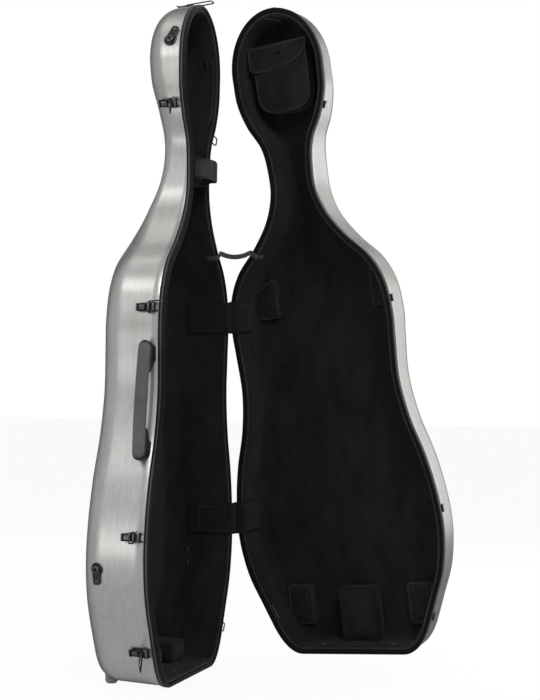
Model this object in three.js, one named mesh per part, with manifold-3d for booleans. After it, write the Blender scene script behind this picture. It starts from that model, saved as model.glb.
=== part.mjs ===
// Hard case for a cello, standing upright with its lid swung open.
// The deep base stands on the flat end of its rim band and on two rubber feet. The shallow lid hangs on
// two hinges whose common axis touches the upper and the lower bout. Both shells are lined with foam.
// Frame: +Z up along the case, -Y out of the base's open side, +X towards the hinges.
// The origin is the middle of the rim band's flat bottom.

import * as THREE from "three";
import { mergeVertices } from "three/addons/utils/BufferGeometryUtils.js";
import Module from "manifold-3d";

const wasm = await Module();
wasm.setup();

// Outline of the case, in millimetres
const CASE_HEIGHT = 1340;
const BOUT_HALF_WIDTH = 239.3;
const FLAT_HALF_WIDTH = 118;
const CORNER_HEIGHT = 60;
const spineShares = [0.08209, 0.92164];
const [SPINE_LOW, SPINE_HIGH] = spineShares.map((share) => share * CASE_HEIGHT);
// Half width and height of the side's points, from the corner to where the head's dome starts
const sideShares = [
  [0.759, 0.0448],
  [0.848, 0.0821],
  [0.948, 0.1269],
  [1.0, 0.1836],
  [0.985, 0.2388],
  [0.922, 0.2985],
  [0.821, 0.3582],
  [0.77, 0.4179],
  [0.781, 0.4776],
  [0.79, 0.5187],
  [0.752, 0.5672],
  [0.648, 0.6045],
  [0.447, 0.6418],
  [0.294, 0.6791],
  [0.217, 0.7164],
  [0.2115, 0.7537],
  [0.246, 0.791],
  [0.361, 0.8284],
  [0.43, 0.8657],
  [0.443, 0.9067],
];
const FLAT_SAMPLES = 2;
const CORNER_SAMPLES = 4;
const SIDE_SAMPLES = 24;
const DOME_SAMPLES = 6;

// Depths of the two shells, and their shares of the greatest depth along the height
const BASE_DEPTH = 153;
const LID_DEPTH = 104;
const baseDepthShares = [
  [0, 1],
  [0.19, 0.965],
  [0.42, 0.92],
  [0.56, 0.895],
  [0.63, 0.84],
  [0.69, 0.66],
  [0.735, 0.5],
  [0.78, 0.44],
  [0.83, 0.48],
  [0.875, 0.565],
  [0.92, 0.6],
  [1, 0.6],
];
const lidDepthShares = [
  [0, 0.79],
  [0.19, 0.84],
  [0.42, 0.86],
  [0.52, 0.93],
  [0.6, 0.96],
  [0.7, 1],
  [0.78, 0.95],
  [0.86, 0.76],
  [0.92, 0.7],
  [1, 0.7],
];
const SHELL_WALL = 3;
const SIDE_DRAFT = 0.04;
const BASE_ROUNDING = 52;
const LID_ROUNDING = 32;
const BASE_CROWN = 12;
const LID_CROWN = 9;
const ROUNDING_WIDTH_SHARE = 0.5;
const NORMAL_REACH = 12;
const ROUND_STEPS = 3;
const CROWN_STEPS = 2;

// Running and seating clearances
const SEAT_GAP = 0.3;
const PARTING_GAP = 0.4;
const PIN_CLEARANCE = 0.3;
const OVERRUN = 5;

// Rim bands: an outer lip over the shell's edge and a web across it
const BAND_DEPTH = 13;
const BAND_LIP = 1.7;
const BAND_FACE = 7.5;
const BASE_WEB = 2.5;
const TONGUE_START = 3;
const TONGUE_WIDTH = 1.8;
const TONGUE_HEIGHT = 1.5;
const GROOVE_FLOOR = 1.6;
const GROOVE_CLEARANCE = 0.5;

// Foam linings
const LINING_THICKNESS = 9;

// The two hinges, as [name, half width, height]. The line through them leans, and the lid is open about it.
const hingeShares = [
  ["upper", 0.8011, 0.5396],
  ["lower", 1.032, 0.2216],
];
const OPEN_ANGLE_DEG = 76;
const KNUCKLE_RADIUS = 3.1;
const HINGE_PIN_RADIUS = 1.4;
const HINGE_LENGTH = 62;
const LEAF_REACH = 34;
const LEAF_THICKNESS = 1.6;
const LEAF_START = 3.6;

// Draw latches, as [name, side, height, degrees that the bail stands up], side 0 being the top
const latchShares = [
  ["head_front", -1, 0.8403, 70],
  ["upper_bout_front", -1, 0.5373, 37],
  ["lower_bout_front", -1, 0.2179, 75],
  ["bottom_front", -1, 0.0545, 70],
  ["head_hinge_side", 1, 0.8269, 65],
  ["bottom_hinge_side", 1, 0.0612, 65],
  ["top", 0, 1, 4],
];
const PLATE_START = 14.5;
const PLATE_LENGTH = 36;
const PLATE_WIDTH = 19;
const PLATE_THICKNESS = 1.4;
const EAR_LENGTH = 12;
const EAR_THICKNESS = 1.4;
const EAR_HEIGHT = 7.6;
const LEVER_PIVOT_V = 24;
const LEVER_PIVOT_H = 5;
const LEVER_WIDTH = 14.6;
const LEVER_LENGTH = 34;
const LEVER_THICKNESS = 4.4;
const LEVER_PIN_RADIUS = 1.5;
const BAIL_OFFSET = 9;
const BAIL_ROOT_HALF = 11.6;
const BAIL_TIP_HALF = 8.8;
const BAIL_TIP_ROUND = 5;
const BAIL_WIRE_RADIUS = 1.4;
const KEEPER_START = 15;
const KEEPER_LENGTH = 15;
const KEEPER_WIDTH = 15;
const KEEPER_HOOK = 6;
const KEEPER_LIP = 4;

// Strap anchors: a riveted rosette with a swivelling tab, as [name, side, height, depth, tab turn in degrees]
const anchorShares = [
  ["head_front", -1, 0.9336, 0.222, 160],
  ["bottom_front", -1, 0.1709, 0.706, 0],
  ["head_back", 1, 0.9336, 0.222, 160],
  ["bottom_back", 1, 0.1709, 0.706, 0],
];
const ROSETTE_RADIUS = 13;
const ROSETTE_THICKNESS = 2.6;
const ROSETTE_POST_RADIUS = 4.2;
const ROSETTE_CAP_RADIUS = 7.4;
const ROSETTE_CAP_THICKNESS = 2.2;
const TAB_THICKNESS = 2;
const TAB_LENGTH = 22;
const TAB_WIDTH = 18;
const TAB_HOLE_RADIUS = 3.4;

// Carrying handle on the front side: its middle's height and depth, its grip and its end brackets
const handleShares = [0.4055, 0.2026];
const HANDLE_LENGTH = 220;
const GRIP_WIDTH = 23.5;
const GRIP_THICKNESS = 16;
const GRIP_STANDOFF = 18;
const GRIP_BOW = 5;
const GRIP_CORNER_POWER = 0.62;
// Distance from the grip's end, width and thickness, down to its full section
const gripEndShares = [
  [0, 0.42, 0.55],
  [0.15, 0.65, 0.84],
  [0.5, 0.89, 1],
  [1, 1, 1],
];
const BRACKET_RIM = 2.2;
const BRACKET_REACH = 60;
const BRACKET_HEEL = 7;
const BRACKET_SOLE = 30;

// Feet under the back of the base
const FOOT_RADIUS = 12.5;
const FOOT_DOME = 9;
const FOOT_X = 119;
const FOOT_SETBACK = 32;
const FOOT_TOP = 34;
// Radius and height of the dome's points
const footShares = [
  [0, 0],
  [0.56, 0],
  [0.86, 0.28],
  [1, 1],
];

// Neck cradle and its strap in the base
const cradleShare = 0.7505;
const CRADLE_HEIGHT = 60;
const CRADLE_HALF_WIDTH = 31;
const CRADLE_CHAMFER_DEPTH = 17;
const CRADLE_CHAMFER_HEIGHT = 13;
const CRADLE_FRONT = -19;
const CRADLE_NOTCH_HALF = 17;
const CRADLE_NOTCH_DEPTH = 26;
const NECK_STRAP_WIDTH = 40;
const NECK_STRAP_THICKNESS = 3;
const NECK_STRAP_RISE = 7;

// Blocks and pads sewn or glued on the linings
const END_CUSHION_INNER = 22;
const END_CUSHION_OUTER = 104;
const END_CUSHION_HEIGHT = 62;
const END_CUSHION_FRONT = 52;
const LID_BLOCK_HALF_WIDTH = 47;
const LID_BLOCK_HEIGHT = 134;
const LID_BLOCK_FRONT = 43;
const PAD_THICKNESS = 11;
const PAD_INNER = 108;
const PAD_OUTER = 178;
const PAD_HEIGHT = 93;
const PAD_SHOULDER = 34;
const upperPadShare = 0.5608;
const lowerPadShare = 0.0683;
const PAD_SINK = 3;
const PAD_EDGE = 7;
const PAD_CROWN = 3;
const PAD_SIDES = 20;
const PAD_CORNER_POWER = 0.38;
const PAD_DRAW_SHARE = 0.04;

// Accessory pocket and its flap in the lid's head
const POCKET_CENTRE_X = 6;
const POCKET_HALF_WIDTH = 66;
const pocketShare = 0.8944;
const POCKET_HEIGHT = 135;
const POCKET_FRONT = 30;
const POCKET_EDGE_ROUND = 7;
const POCKET_WALL = 3.5;
const FLAP_THICKNESS = 4;
const FLAP_RISE = 6;
const FLAP_DROP = 51;

// Stay strap from shell to shell
const stayShare = 0.6358;
const STAY_WIDTH = 10;
const STAY_THICKNESS = 1.5;
const STAY_END_DEPTH = 22;
const STAY_SAG = 8;

// Padded covers over the hinges
const COVER_HEIGHT = 68;
const COVER_THICKNESS = 4.5;
const COVER_BASE_REACH = 95;
const COVER_LID_REACH = 56;
const COVER_SEAT = 0.5;
const COVER_ROWS = 5;

const material = {
  silver: new THREE.MeshStandardMaterial({ color: 0xb4b4b6, roughness: 0.35, metalness: 0.85 }),
  band: new THREE.MeshStandardMaterial({ color: 0x1b1b1c, roughness: 0.5, metalness: 0.1 }),
  lining: new THREE.MeshStandardMaterial({ color: 0x121314, roughness: 0.95, metalness: 0 }),
  blackMetal: new THREE.MeshStandardMaterial({ color: 0x232021, roughness: 0.3, metalness: 0.9 }),
  rubber: new THREE.MeshStandardMaterial({ color: 0x505153, roughness: 0.7, metalness: 0 }),
  blackPlastic: new THREE.MeshStandardMaterial({ color: 0x19191a, roughness: 0.5, metalness: 0 }),
  webbing: new THREE.MeshStandardMaterial({ color: 0x3a3b3d, roughness: 0.9, metalness: 0 }),
};

// Closed solids and booleans

function weld(geometry) {
  geometry.deleteAttribute("normal");
  geometry.deleteAttribute("uv");
  return mergeVertices(geometry, 1e-4);
}

function toManifold(geometry) {
  const welded = weld(geometry.clone());
  const vertProperties = new Float32Array(welded.attributes.position.array);
  const triVerts = new Uint32Array(welded.index.array);
  return new wasm.Manifold(new wasm.Mesh({ numProp: 3, vertProperties, triVerts }));
}

function fromManifold(body) {
  const mesh = body.getMesh();
  const geometry = new THREE.BufferGeometry();
  geometry.setAttribute("position", new THREE.BufferAttribute(new Float32Array(mesh.vertProperties), 3));
  geometry.setIndex(new THREE.BufferAttribute(new Uint32Array(mesh.triVerts), 1));
  return geometry;
}

function join(...geometries) {
  return fromManifold(geometries.map(toManifold).reduce((sum, next) => sum.add(next)));
}

function cut(geometry, ...tools) {
  const bodies = tools.map(toManifold);
  return fromManifold(bodies.reduce((rest, tool) => rest.subtract(tool), toManifold(geometry)));
}

function overlap(geometry, tool) {
  return fromManifold(toManifold(geometry).intersect(toManifold(tool)));
}

function signedVolume(points, triangles) {
  let sum = 0;
  for (const [a, b, c] of triangles) {
    sum += points[a].dot(new THREE.Vector3().crossVectors(points[b], points[c]));
  }
  return sum / 6;
}

// A closed body from points and triangles, turned so that its faces point out
function body(points, triangles) {
  const turned = signedVolume(points, triangles) < 0;
  const geometry = new THREE.BufferGeometry().setFromPoints(points);
  geometry.setIndex(triangles.flatMap(([a, b, c]) => (turned ? [a, c, b] : [a, b, c])));
  const welded = mergeVertices(geometry, 1e-4);
  const kept = [];
  const index = welded.index.array;
  for (let i = 0; i < index.length; i += 3) {
    const [a, b, c] = [index[i], index[i + 1], index[i + 2]];
    if (a !== b && b !== c && c !== a) {
      kept.push(a, b, c);
    }
  }
  welded.setIndex(kept);
  return welded;
}

// Quads between neighbouring rings of equal length; a wrapped list also joins its last ring to its first
function lace(rings, wrapped) {
  const count = rings[0].length;
  const triangles = [];
  const last = wrapped ? rings.length : rings.length - 1;
  for (let r = 0; r < last; r++) {
    const here = r * count;
    const there = ((r + 1) % rings.length) * count;
    for (let i = 0; i < count; i++) {
      const next = (i + 1) % count;
      triangles.push([here + i, there + next, there + i], [here + i, here + next, there + next]);
    }
  }
  return triangles;
}

// A section carried along a path, with flat ends. Each path point has its own up direction.
function sweep(path, section, ups) {
  const rings = path.map((point, i) => {
    const before = path[Math.max(i - 1, 0)];
    const after = path[Math.min(i + 1, path.length - 1)];
    const along = after.clone().sub(before).normalize();
    const up = (Array.isArray(ups) ? ups[i] : ups).clone();
    const wide = up.sub(along.clone().multiplyScalar(up.dot(along))).normalize();
    const thick = new THREE.Vector3().crossVectors(along, wide);
    const outline = typeof section === "function" ? section(i) : section;
    return outline.map(([a, b]) => point.clone().addScaledVector(wide, a).addScaledVector(thick, b));
  });
  const count = rings[0].length;
  const triangles = lace(rings, false);
  const end = (rings.length - 1) * count;
  for (let i = 1; i < count - 1; i++) {
    triangles.push([0, i + 1, i], [end, end + i, end + i + 1]);
  }
  return body(rings.flat(), triangles);
}

// A sheet of even thickness about a grid of points
function sheet(grid, thickness) {
  const [rows, columns] = [grid.length, grid[0].length];
  const at = (r, c) => grid[THREE.MathUtils.clamp(r, 0, rows - 1)][THREE.MathUtils.clamp(c, 0, columns - 1)];
  const offset = (r, c, amount) => {
    const down = at(r + 1, c).clone().sub(at(r - 1, c));
    const across = at(r, c + 1).clone().sub(at(r, c - 1));
    const outwards = new THREE.Vector3().crossVectors(down, across).normalize();
    return at(r, c).clone().addScaledVector(outwards, amount);
  };
  const rings = grid.map((row, r) => {
    const front = row.map((_, c) => offset(r, c, thickness / 2));
    const back = row.map((_, c) => offset(r, c, -thickness / 2)).reverse();
    return [...front, ...back];
  });
  const count = 2 * columns;
  const end = (rows - 1) * count;
  const triangles = lace(rings, false);
  for (let c = 0; c < columns - 1; c++) {
    const [a, b, d, e] = [c, c + 1, count - 2 - c, count - 1 - c];
    triangles.push([a, d, b], [a, e, d], [end + a, end + b, end + d], [end + a, end + d, end + e]);
  }
  return body(rings.flat(), triangles);
}

// A padded form in the plane of the first and third axes: square with round corners, its sides drawn in
// between them, its front edge round and its front crowned. sign tells which way the back lies, and
// shoulder how far its upper corner falls, on the side that shoulder's own sign gives.
function padded(centre, halfWidth, halfHeight, back, front, edge, crown, sign, shoulder = 0) {
  const sides = Array.from({ length: PAD_SIDES }, (_, i) => {
    const turn = (2 * Math.PI * (i + 0.5)) / PAD_SIDES;
    const [c, d] = [Math.cos(turn), Math.sin(turn)];
    const drawn = 1 - PAD_DRAW_SHARE * (1 - Math.abs(Math.sin(2 * turn)));
    return [c, d].map((v) => drawn * Math.sign(v) * Math.abs(v) ** PAD_CORNER_POWER);
  });
  const levels = [
    [0, back],
    [0, front + edge],
    [edge * 0.3, front + edge * 0.3],
    [edge, front],
  ];
  const rings = levels.map(([inset, y]) =>
    sides.map(([a, b]) => {
      const fall = Math.abs(shoulder) * ((1 + a * Math.sign(shoulder)) / 2) ** 2 * ((1 + b) / 2);
      const [x, z] = [a * (halfWidth - inset), b * (halfHeight - inset) - fall];
      return new THREE.Vector3(centre.x + x, sign * y, centre.z + z);
    }),
  );
  const backCentre = new THREE.Vector3(centre.x, sign * back, centre.z);
  const frontCentre = new THREE.Vector3(centre.x, sign * (front - crown), centre.z);
  const all = [sides.map(() => backCentre), ...rings, sides.map(() => frontCentre)];
  return body(all.flat(), lace(all, false));
}

function ellipse(halfA, halfB, sides) {
  return Array.from({ length: sides }, (_, i) => {
    const turn = (2 * Math.PI * (i + 0.5)) / sides;
    return [halfA * Math.cos(turn), halfB * Math.sin(turn)];
  });
}

function softRectangle(halfA, halfB, sides) {
  const soft = (v) => Math.sign(v) * Math.abs(v) ** GRIP_CORNER_POWER;
  return ellipse(1, 1, sides).map(([c, d]) => [halfA * soft(c), halfB * soft(d)]);
}

function rectangle(halfA, halfB) {
  return [
    [halfA, halfB],
    [-halfA, halfB],
    [-halfA, -halfB],
    [halfA, -halfB],
  ];
}

// A box between two corners
function block(low, high) {
  const size = new THREE.Vector3(...high).sub(new THREE.Vector3(...low));
  const centre = new THREE.Vector3(...low).addScaledVector(size, 0.5);
  return new THREE.BoxGeometry(size.x, size.y, size.z).translate(centre.x, centre.y, centre.z);
}

// A flat outline in the plane of the second and third axes, pushed both ways along the first
function plateAcross(points, width) {
  const shape = new THREE.Shape(points.map(([a, b]) => new THREE.Vector2(a, b)));
  const solid = new THREE.ExtrudeGeometry(shape, { depth: width, bevelEnabled: false });
  const axes = new THREE.Matrix4().makeBasis(
    new THREE.Vector3(0, 1, 0),
    new THREE.Vector3(0, 0, 1),
    new THREE.Vector3(1, 0, 0),
  );
  return solid.translate(0, 0, -width / 2).applyMatrix4(axes);
}

// A round bar along the first axis
function barAcross(radius, length, sides) {
  return new THREE.CylinderGeometry(radius, radius, length, sides).rotateZ(-Math.PI / 2);
}

// Outline of the case: half of it is sampled from the middle of the flat bottom over the side to the top

function interpolate(shares, heightShare) {
  const curve = new THREE.SplineCurve(shares.map(([z, d]) => new THREE.Vector2(z, d)));
  const points = curve.getPoints(shares.length * 6);
  const k = Math.max(1, points.findIndex((p) => p.x >= heightShare));
  const [a, b] = [points[k - 1], points[k]];
  return a.y + ((b.y - a.y) * (heightShare - a.x)) / (b.x - a.x);
}

function halfOutline() {
  const side = sideShares.map(([w, z]) => new THREE.Vector3(w * BOUT_HALF_WIDTH, 0, z * CASE_HEIGHT));
  side[0].z = CORNER_HEIGHT;
  const sideCurve = new THREE.CatmullRomCurve3(side, false, "centripetal");
  const start = new THREE.Vector3(FLAT_HALF_WIDTH, 0, 0);
  const lean = sideCurve.getTangent(0);
  const corner = new THREE.CubicBezierCurve3(
    start,
    start.clone().setX(FLAT_HALF_WIDTH + (side[0].x - FLAT_HALF_WIDTH) * 0.5),
    side[0].clone().addScaledVector(lean, -CORNER_HEIGHT * 0.45),
    side[0],
  );
  const points = [];
  for (let i = 0; i < FLAT_SAMPLES; i++) {
    points.push(new THREE.Vector3((FLAT_HALF_WIDTH * i) / FLAT_SAMPLES, 0, 0));
  }
  for (let i = 0; i < CORNER_SAMPLES; i++) {
    points.push(corner.getPoint(i / CORNER_SAMPLES));
  }
  for (let i = 0; i < SIDE_SAMPLES; i++) {
    points.push(sideCurve.getPoint(i / SIDE_SAMPLES));
  }
  const shoulder = side[side.length - 1];
  for (let i = 0; i <= DOME_SAMPLES; i++) {
    const turn = (Math.PI / 2) * (i / DOME_SAMPLES);
    const rise = (CASE_HEIGHT - shoulder.z) * Math.sin(turn);
    const x = i === DOME_SAMPLES ? 0 : shoulder.x * Math.cos(turn);
    points.push(new THREE.Vector3(x, 0, shoulder.z + rise));
  }
  return points;
}

const half = halfOutline();
const mirrored = half.slice(1, -1).reverse().map((p) => new THREE.Vector3(-p.x, p.y, p.z));
const outline = [...half, ...mirrored];

// What every section of the case needs: the outline's point, its inward direction and the spine's point
const stations = outline.map((point, i) => {
  const before = outline[(i + outline.length - 1) % outline.length];
  const after = outline[(i + 1) % outline.length];
  const along = after.clone().sub(before).normalize();
  const inward = new THREE.Vector3(-along.z, 0, along.x);
  const spine = new THREE.Vector3(0, 0, THREE.MathUtils.clamp(point.z, SPINE_LOW, SPINE_HIGH));
  const turning = point.clone().addScaledVector(inward, NORMAL_REACH);
  const reach = NORMAL_REACH + turning.distanceTo(spine);
  return { point, inward, turning, spine, reach };
});

// The point at an inset and a depth: square to the outline at first, then straight to the spine
function stationPoint(station, inset, depth) {
  const { point, inward, turning, spine, reach } = station;
  if (inset <= NORMAL_REACH) {
    return point.clone().addScaledVector(inward, inset).setY(depth);
  }
  const share = Math.min(1, (inset - NORMAL_REACH) / (reach - NORMAL_REACH));
  return turning.clone().lerp(spine, share).setY(depth);
}

const shapes = {
  base: { depth: BASE_DEPTH, shares: baseDepthShares, rounding: BASE_ROUNDING, crown: BASE_CROWN, sign: 1 },
  lid: { depth: LID_DEPTH, shares: lidDepthShares, rounding: LID_ROUNDING, crown: LID_CROWN, sign: -1 },
};

// Depth, corner rounding and crown of a shell's section. The crown is lower where the case is narrow.
function sectionAt(shape, { spine, reach }) {
  const depth = shape.depth * interpolate(shape.shares, spine.z / CASE_HEIGHT);
  const rounding = Math.min(shape.rounding, reach * ROUNDING_WIDTH_SHARE);
  const crown = (shape.crown * outlineAt(1, spine.z).point.x) / BOUT_HALF_WIDTH;
  return { depth, rounding, crown, straight: depth - rounding };
}

function wallInset(shrink, depth) {
  return BAND_LIP + SEAT_GAP + shrink + SIDE_DRAFT * depth;
}

// Rings of one surface, from its front edge down the side, round the corner and over the crowned back.
// shrink is how far the surface lies inside the shell's outer one.
function surfaceRings(shape, shrink, front) {
  const rings = [];
  const ringOf = (place) => stations.map((station) => place(station, sectionAt(shape, station)));
  rings.push(ringOf((station) => stationPoint(station, wallInset(shrink, front), shape.sign * front)));
  const arcPoint = (station, { rounding, straight, crown }, share) => {
    const radius = rounding - shrink;
    const startInset = wallInset(shrink, straight);
    const slope = (2 * crown) / (station.reach - startInset - radius);
    const turn = (Math.PI / 2 - Math.atan(slope)) * share;
    return [startInset + radius * (1 - Math.cos(turn)), straight + radius * Math.sin(turn)];
  };
  for (let k = 0; k <= ROUND_STEPS; k++) {
    rings.push(
      ringOf((station, section) => {
        const [inset, depth] = arcPoint(station, section, k / ROUND_STEPS);
        return stationPoint(station, inset, shape.sign * depth);
      }),
    );
  }
  for (let k = 1; k <= CROWN_STEPS; k++) {
    const share = k / CROWN_STEPS;
    rings.push(
      ringOf((station, section) => {
        const [edgeInset, edgeDepth] = arcPoint(station, section, 1);
        const rise = section.depth - shrink + section.crown - edgeDepth;
        const inset = edgeInset + (station.reach - edgeInset) * share;
        return stationPoint(station, inset, shape.sign * (edgeDepth + rise * (1 - (1 - share) ** 2)));
      }),
    );
  }
  return rings;
}

// A wall between two such surfaces. Both are laced from front to back, so their facets lie parallel.
function hollowBody(shape, outerShrink, innerShrink, front) {
  const outer = surfaceRings(shape, outerShrink, front);
  const inner = surfaceRings(shape, innerShrink, front);
  const start = outer.length * stations.length;
  const inside = lace(inner, false).map(([a, b, c]) => [start + a, start + c, start + b]);
  const edge = lace([inner[0], outer[0]], false).map((corners) =>
    corners.map((k) => (k < stations.length ? start + k : k - stations.length)),
  );
  return body([...outer.flat(), ...inner.flat()], [...lace(outer, false), ...inside, ...edge]);
}

// The space inside such a surface, closed by a flat front
function filledBody(shape, shrink, front) {
  const rings = surfaceRings(shape, shrink, front);
  const centre = stations.map(({ spine }) => spine.clone().setY(shape.sign * front));
  const all = [centre, ...rings];
  return body(all.flat(), lace(all, false));
}

// A band whose section, given as insets and depths, runs once round the outline
function bandBody(sign, section) {
  const rings = section.map(([inset, depth]) =>
    stations.map((station) => stationPoint(station, inset, sign * depth)),
  );
  return body(rings.flat(), lace(rings, true));
}

// Frames on the case's side: u along the outline, v away from the parting plane, h outwards.
// The outline's own facet gives the place, so a piece set on it seats on the real wall.

function outlineAt(side, height) {
  const count = outline.length;
  for (let i = 0; i < count; i++) {
    const next = (i + 1) % count;
    const [a, b] = [outline[i], outline[next]];
    const [low, high] = [Math.min(a.z, b.z), Math.max(a.z, b.z)];
    if (Math.sign(a.x + b.x) === side && height >= low && height < high) {
      const share = (height - a.z) / (b.z - a.z);
      const along = b.clone().sub(a).normalize();
      const outward = new THREE.Vector3(along.z, 0, -along.x);
      return { point: a.clone().lerp(b, share), outward, i, next, share };
    }
  }
  return { point: new THREE.Vector3(0, 0, CASE_HEIGHT), outward: new THREE.Vector3(0, 0, 1) };
}

// A point on the hinge side's wall, on the facet between its two stations
function innerPoint(height, inset, depth) {
  const { i, next, share } = outlineAt(1, height);
  return stationPoint(stations[i], inset, depth).lerp(stationPoint(stations[next], inset, depth), share);
}

function spanSection(shape, height) {
  const z = THREE.MathUtils.clamp(height, SPINE_LOW, SPINE_HIGH);
  return sectionAt(shape, { spine: new THREE.Vector3(0, 0, z), reach: Infinity });
}

// Frame on the shell's outer surface at a depth, whose v follows the surface
function sideFrame(shape, side, height, depth) {
  const { point, outward } = outlineAt(side, height);
  const { rounding, straight } = spanSection(shape, height);
  const turn = Math.asin(THREE.MathUtils.clamp((depth - straight) / rounding, 0, 1));
  const inset = wallInset(0, Math.min(depth, straight)) + rounding * (1 - Math.cos(turn));
  const lean = Math.max(turn, Math.atan(SIDE_DRAFT));
  const inDepth = new THREE.Vector3(0, shape.sign, 0);
  const h = outward.clone().multiplyScalar(Math.cos(lean)).addScaledVector(inDepth, Math.sin(lean));
  const v = inDepth.clone().multiplyScalar(Math.cos(lean)).addScaledVector(outward, -Math.sin(lean));
  const u = new THREE.Vector3().crossVectors(v, h);
  const origin = point.clone().addScaledVector(outward, -inset).setY(shape.sign * depth);
  return new THREE.Matrix4().makeBasis(u, v, h).setPosition(origin);
}

function groupAt(matrix) {
  const group = new THREE.Group();
  group.applyMatrix4(matrix);
  return group;
}

function part(parent, name, geometry, look) {
  const mesh = new THREE.Mesh(geometry, look);
  mesh.name = name;
  parent.add(mesh);
  return mesh;
}

// A pivot whose own first axis is the axis of the joint
function pivot(parent, name, place) {
  const group = new THREE.Group();
  group.name = name;
  group.position.set(...place);
  parent.add(group);
  return group;
}

// Shells, linings and bands

const LINING_OUTSIDE = SHELL_WALL + SEAT_GAP;
const LINING_INSIDE = LINING_OUTSIDE + LINING_THICKNESS;
const baseFront = PARTING_GAP / 2 + BASE_WEB + SEAT_GAP;
const lidWeb = BASE_WEB + GROOVE_FLOOR;
const lidFront = PARTING_GAP / 2 + lidWeb + SEAT_GAP;

function linedShell(group, shape, name, front, extras) {
  const shell = hollowBody(shape, 0, SHELL_WALL, front);
  part(group, `${name}_shell`, shell, material.silver);
  const foam = hollowBody(shape, LINING_OUTSIDE, LINING_INSIDE, front);
  const room = filledBody(shape, LINING_OUTSIDE + PAD_SINK, front);
  const lining = extras.reduce((sum, extra) => join(sum, overlap(extra, room)), foam);
  part(group, `${name}_lining`, lining, material.lining);
}

function baseBand() {
  const face = PARTING_GAP / 2;
  const tongueEnd = TONGUE_START + TONGUE_WIDTH;
  return bandBody(1, [
    [0, face],
    [TONGUE_START, face],
    [TONGUE_START, face - TONGUE_HEIGHT],
    [tongueEnd, face - TONGUE_HEIGHT],
    [tongueEnd, face],
    [BAND_FACE, face],
    [BAND_FACE, face + BASE_WEB],
    [BAND_LIP, face + BASE_WEB],
    [BAND_LIP, BAND_DEPTH],
    [0, BAND_DEPTH],
  ]);
}

function lidBand() {
  const face = PARTING_GAP / 2;
  const start = TONGUE_START - GROOVE_CLEARANCE;
  const end = TONGUE_START + TONGUE_WIDTH + GROOVE_CLEARANCE;
  const floor = face + lidWeb - GROOVE_FLOOR;
  return bandBody(-1, [
    [0, face],
    [start, face],
    [start, floor],
    [end, floor],
    [end, face],
    [BAND_FACE, face],
    [BAND_FACE, face + lidWeb],
    [BAND_LIP, face + lidWeb],
    [BAND_LIP, BAND_DEPTH],
    [0, BAND_DEPTH],
  ]);
}

// Everything that seats on the outside of a shell is cut by the shell and its band, grown by the seat gap
function outsideOf(shape) {
  const grownShell = filledBody(shape, -SEAT_GAP, 0);
  const grownBand = bandBody(shape.sign, [
    [-SEAT_GAP, 0],
    [BAND_LIP + OVERRUN, 0],
    [BAND_LIP + OVERRUN, BAND_DEPTH + SEAT_GAP],
    [-SEAT_GAP, BAND_DEPTH + SEAT_GAP],
  ]);
  return join(grownShell, grownBand);
}

const outside = { base: outsideOf(shapes.base), lid: outsideOf(shapes.lid) };

// Geometry given in a frame on the case, cut so that it seats on the shell there
function seated(geometry, frame, envelope) {
  const back = frame.clone().invert();
  return cut(geometry.applyMatrix4(frame), envelope).applyMatrix4(back);
}

// Draw latch: plate with two ears, lever on a cross pin, wire bail on the lever, hooked keeper on the lid

function latchPlate(frame) {
  const earInner = LEVER_WIDTH / 2 + PIN_CLEARANCE;
  const low = LEVER_PIVOT_V - EAR_LENGTH / 2;
  const plate = block(
    [-PLATE_WIDTH / 2, PLATE_START, -OVERRUN],
    [PLATE_WIDTH / 2, PLATE_START + PLATE_LENGTH, PLATE_THICKNESS],
  );
  const ears = [-1, 1].map((s) => {
    const middle = s * (earInner + EAR_THICKNESS / 2);
    const corners = [
      [low, 0],
      [low + EAR_LENGTH, 0],
      [low + EAR_LENGTH * 0.75, EAR_HEIGHT],
      [low + EAR_LENGTH * 0.25, EAR_HEIGHT],
    ];
    return plateAcross(corners, EAR_THICKNESS).translate(middle, 0, 0);
  });
  const bore = barAcross(LEVER_PIN_RADIUS + PIN_CLEARANCE, PLATE_WIDTH * 2, 8);
  const solid = cut(join(plate, ...ears), bore.translate(0, LEVER_PIVOT_V, LEVER_PIVOT_H));
  return seated(solid, frame, outside.base);
}

// Modelled about its own pivot: a pressed lever with a raised lip, its cross pin and the bail's bore
function latchLever() {
  const bottom = PLATE_THICKNESS + SEAT_GAP - LEVER_PIVOT_H;
  const top = bottom + LEVER_THICKNESS;
  const profile = [
    [-LEVER_THICKNESS / 2, -LEVER_THICKNESS / 4],
    [-LEVER_THICKNESS / 4, bottom],
    [LEVER_LENGTH * 0.75, bottom],
    [LEVER_LENGTH, bottom + LEVER_THICKNESS / 2],
    [LEVER_LENGTH, top],
    [LEVER_LENGTH * 0.72, top - LEVER_THICKNESS / 4],
    [BAIL_OFFSET, top + LEVER_THICKNESS / 4],
    [-LEVER_THICKNESS / 4, top],
  ];
  const pin = barAcross(LEVER_PIN_RADIUS, LEVER_WIDTH + 2 * (PIN_CLEARANCE + EAR_THICKNESS), 8);
  const bore = barAcross(BAIL_WIRE_RADIUS + PIN_CLEARANCE, LEVER_WIDTH * 2, 8);
  return cut(join(plateAcross(profile, LEVER_WIDTH), pin), bore.translate(0, BAIL_OFFSET, 0));
}

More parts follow.
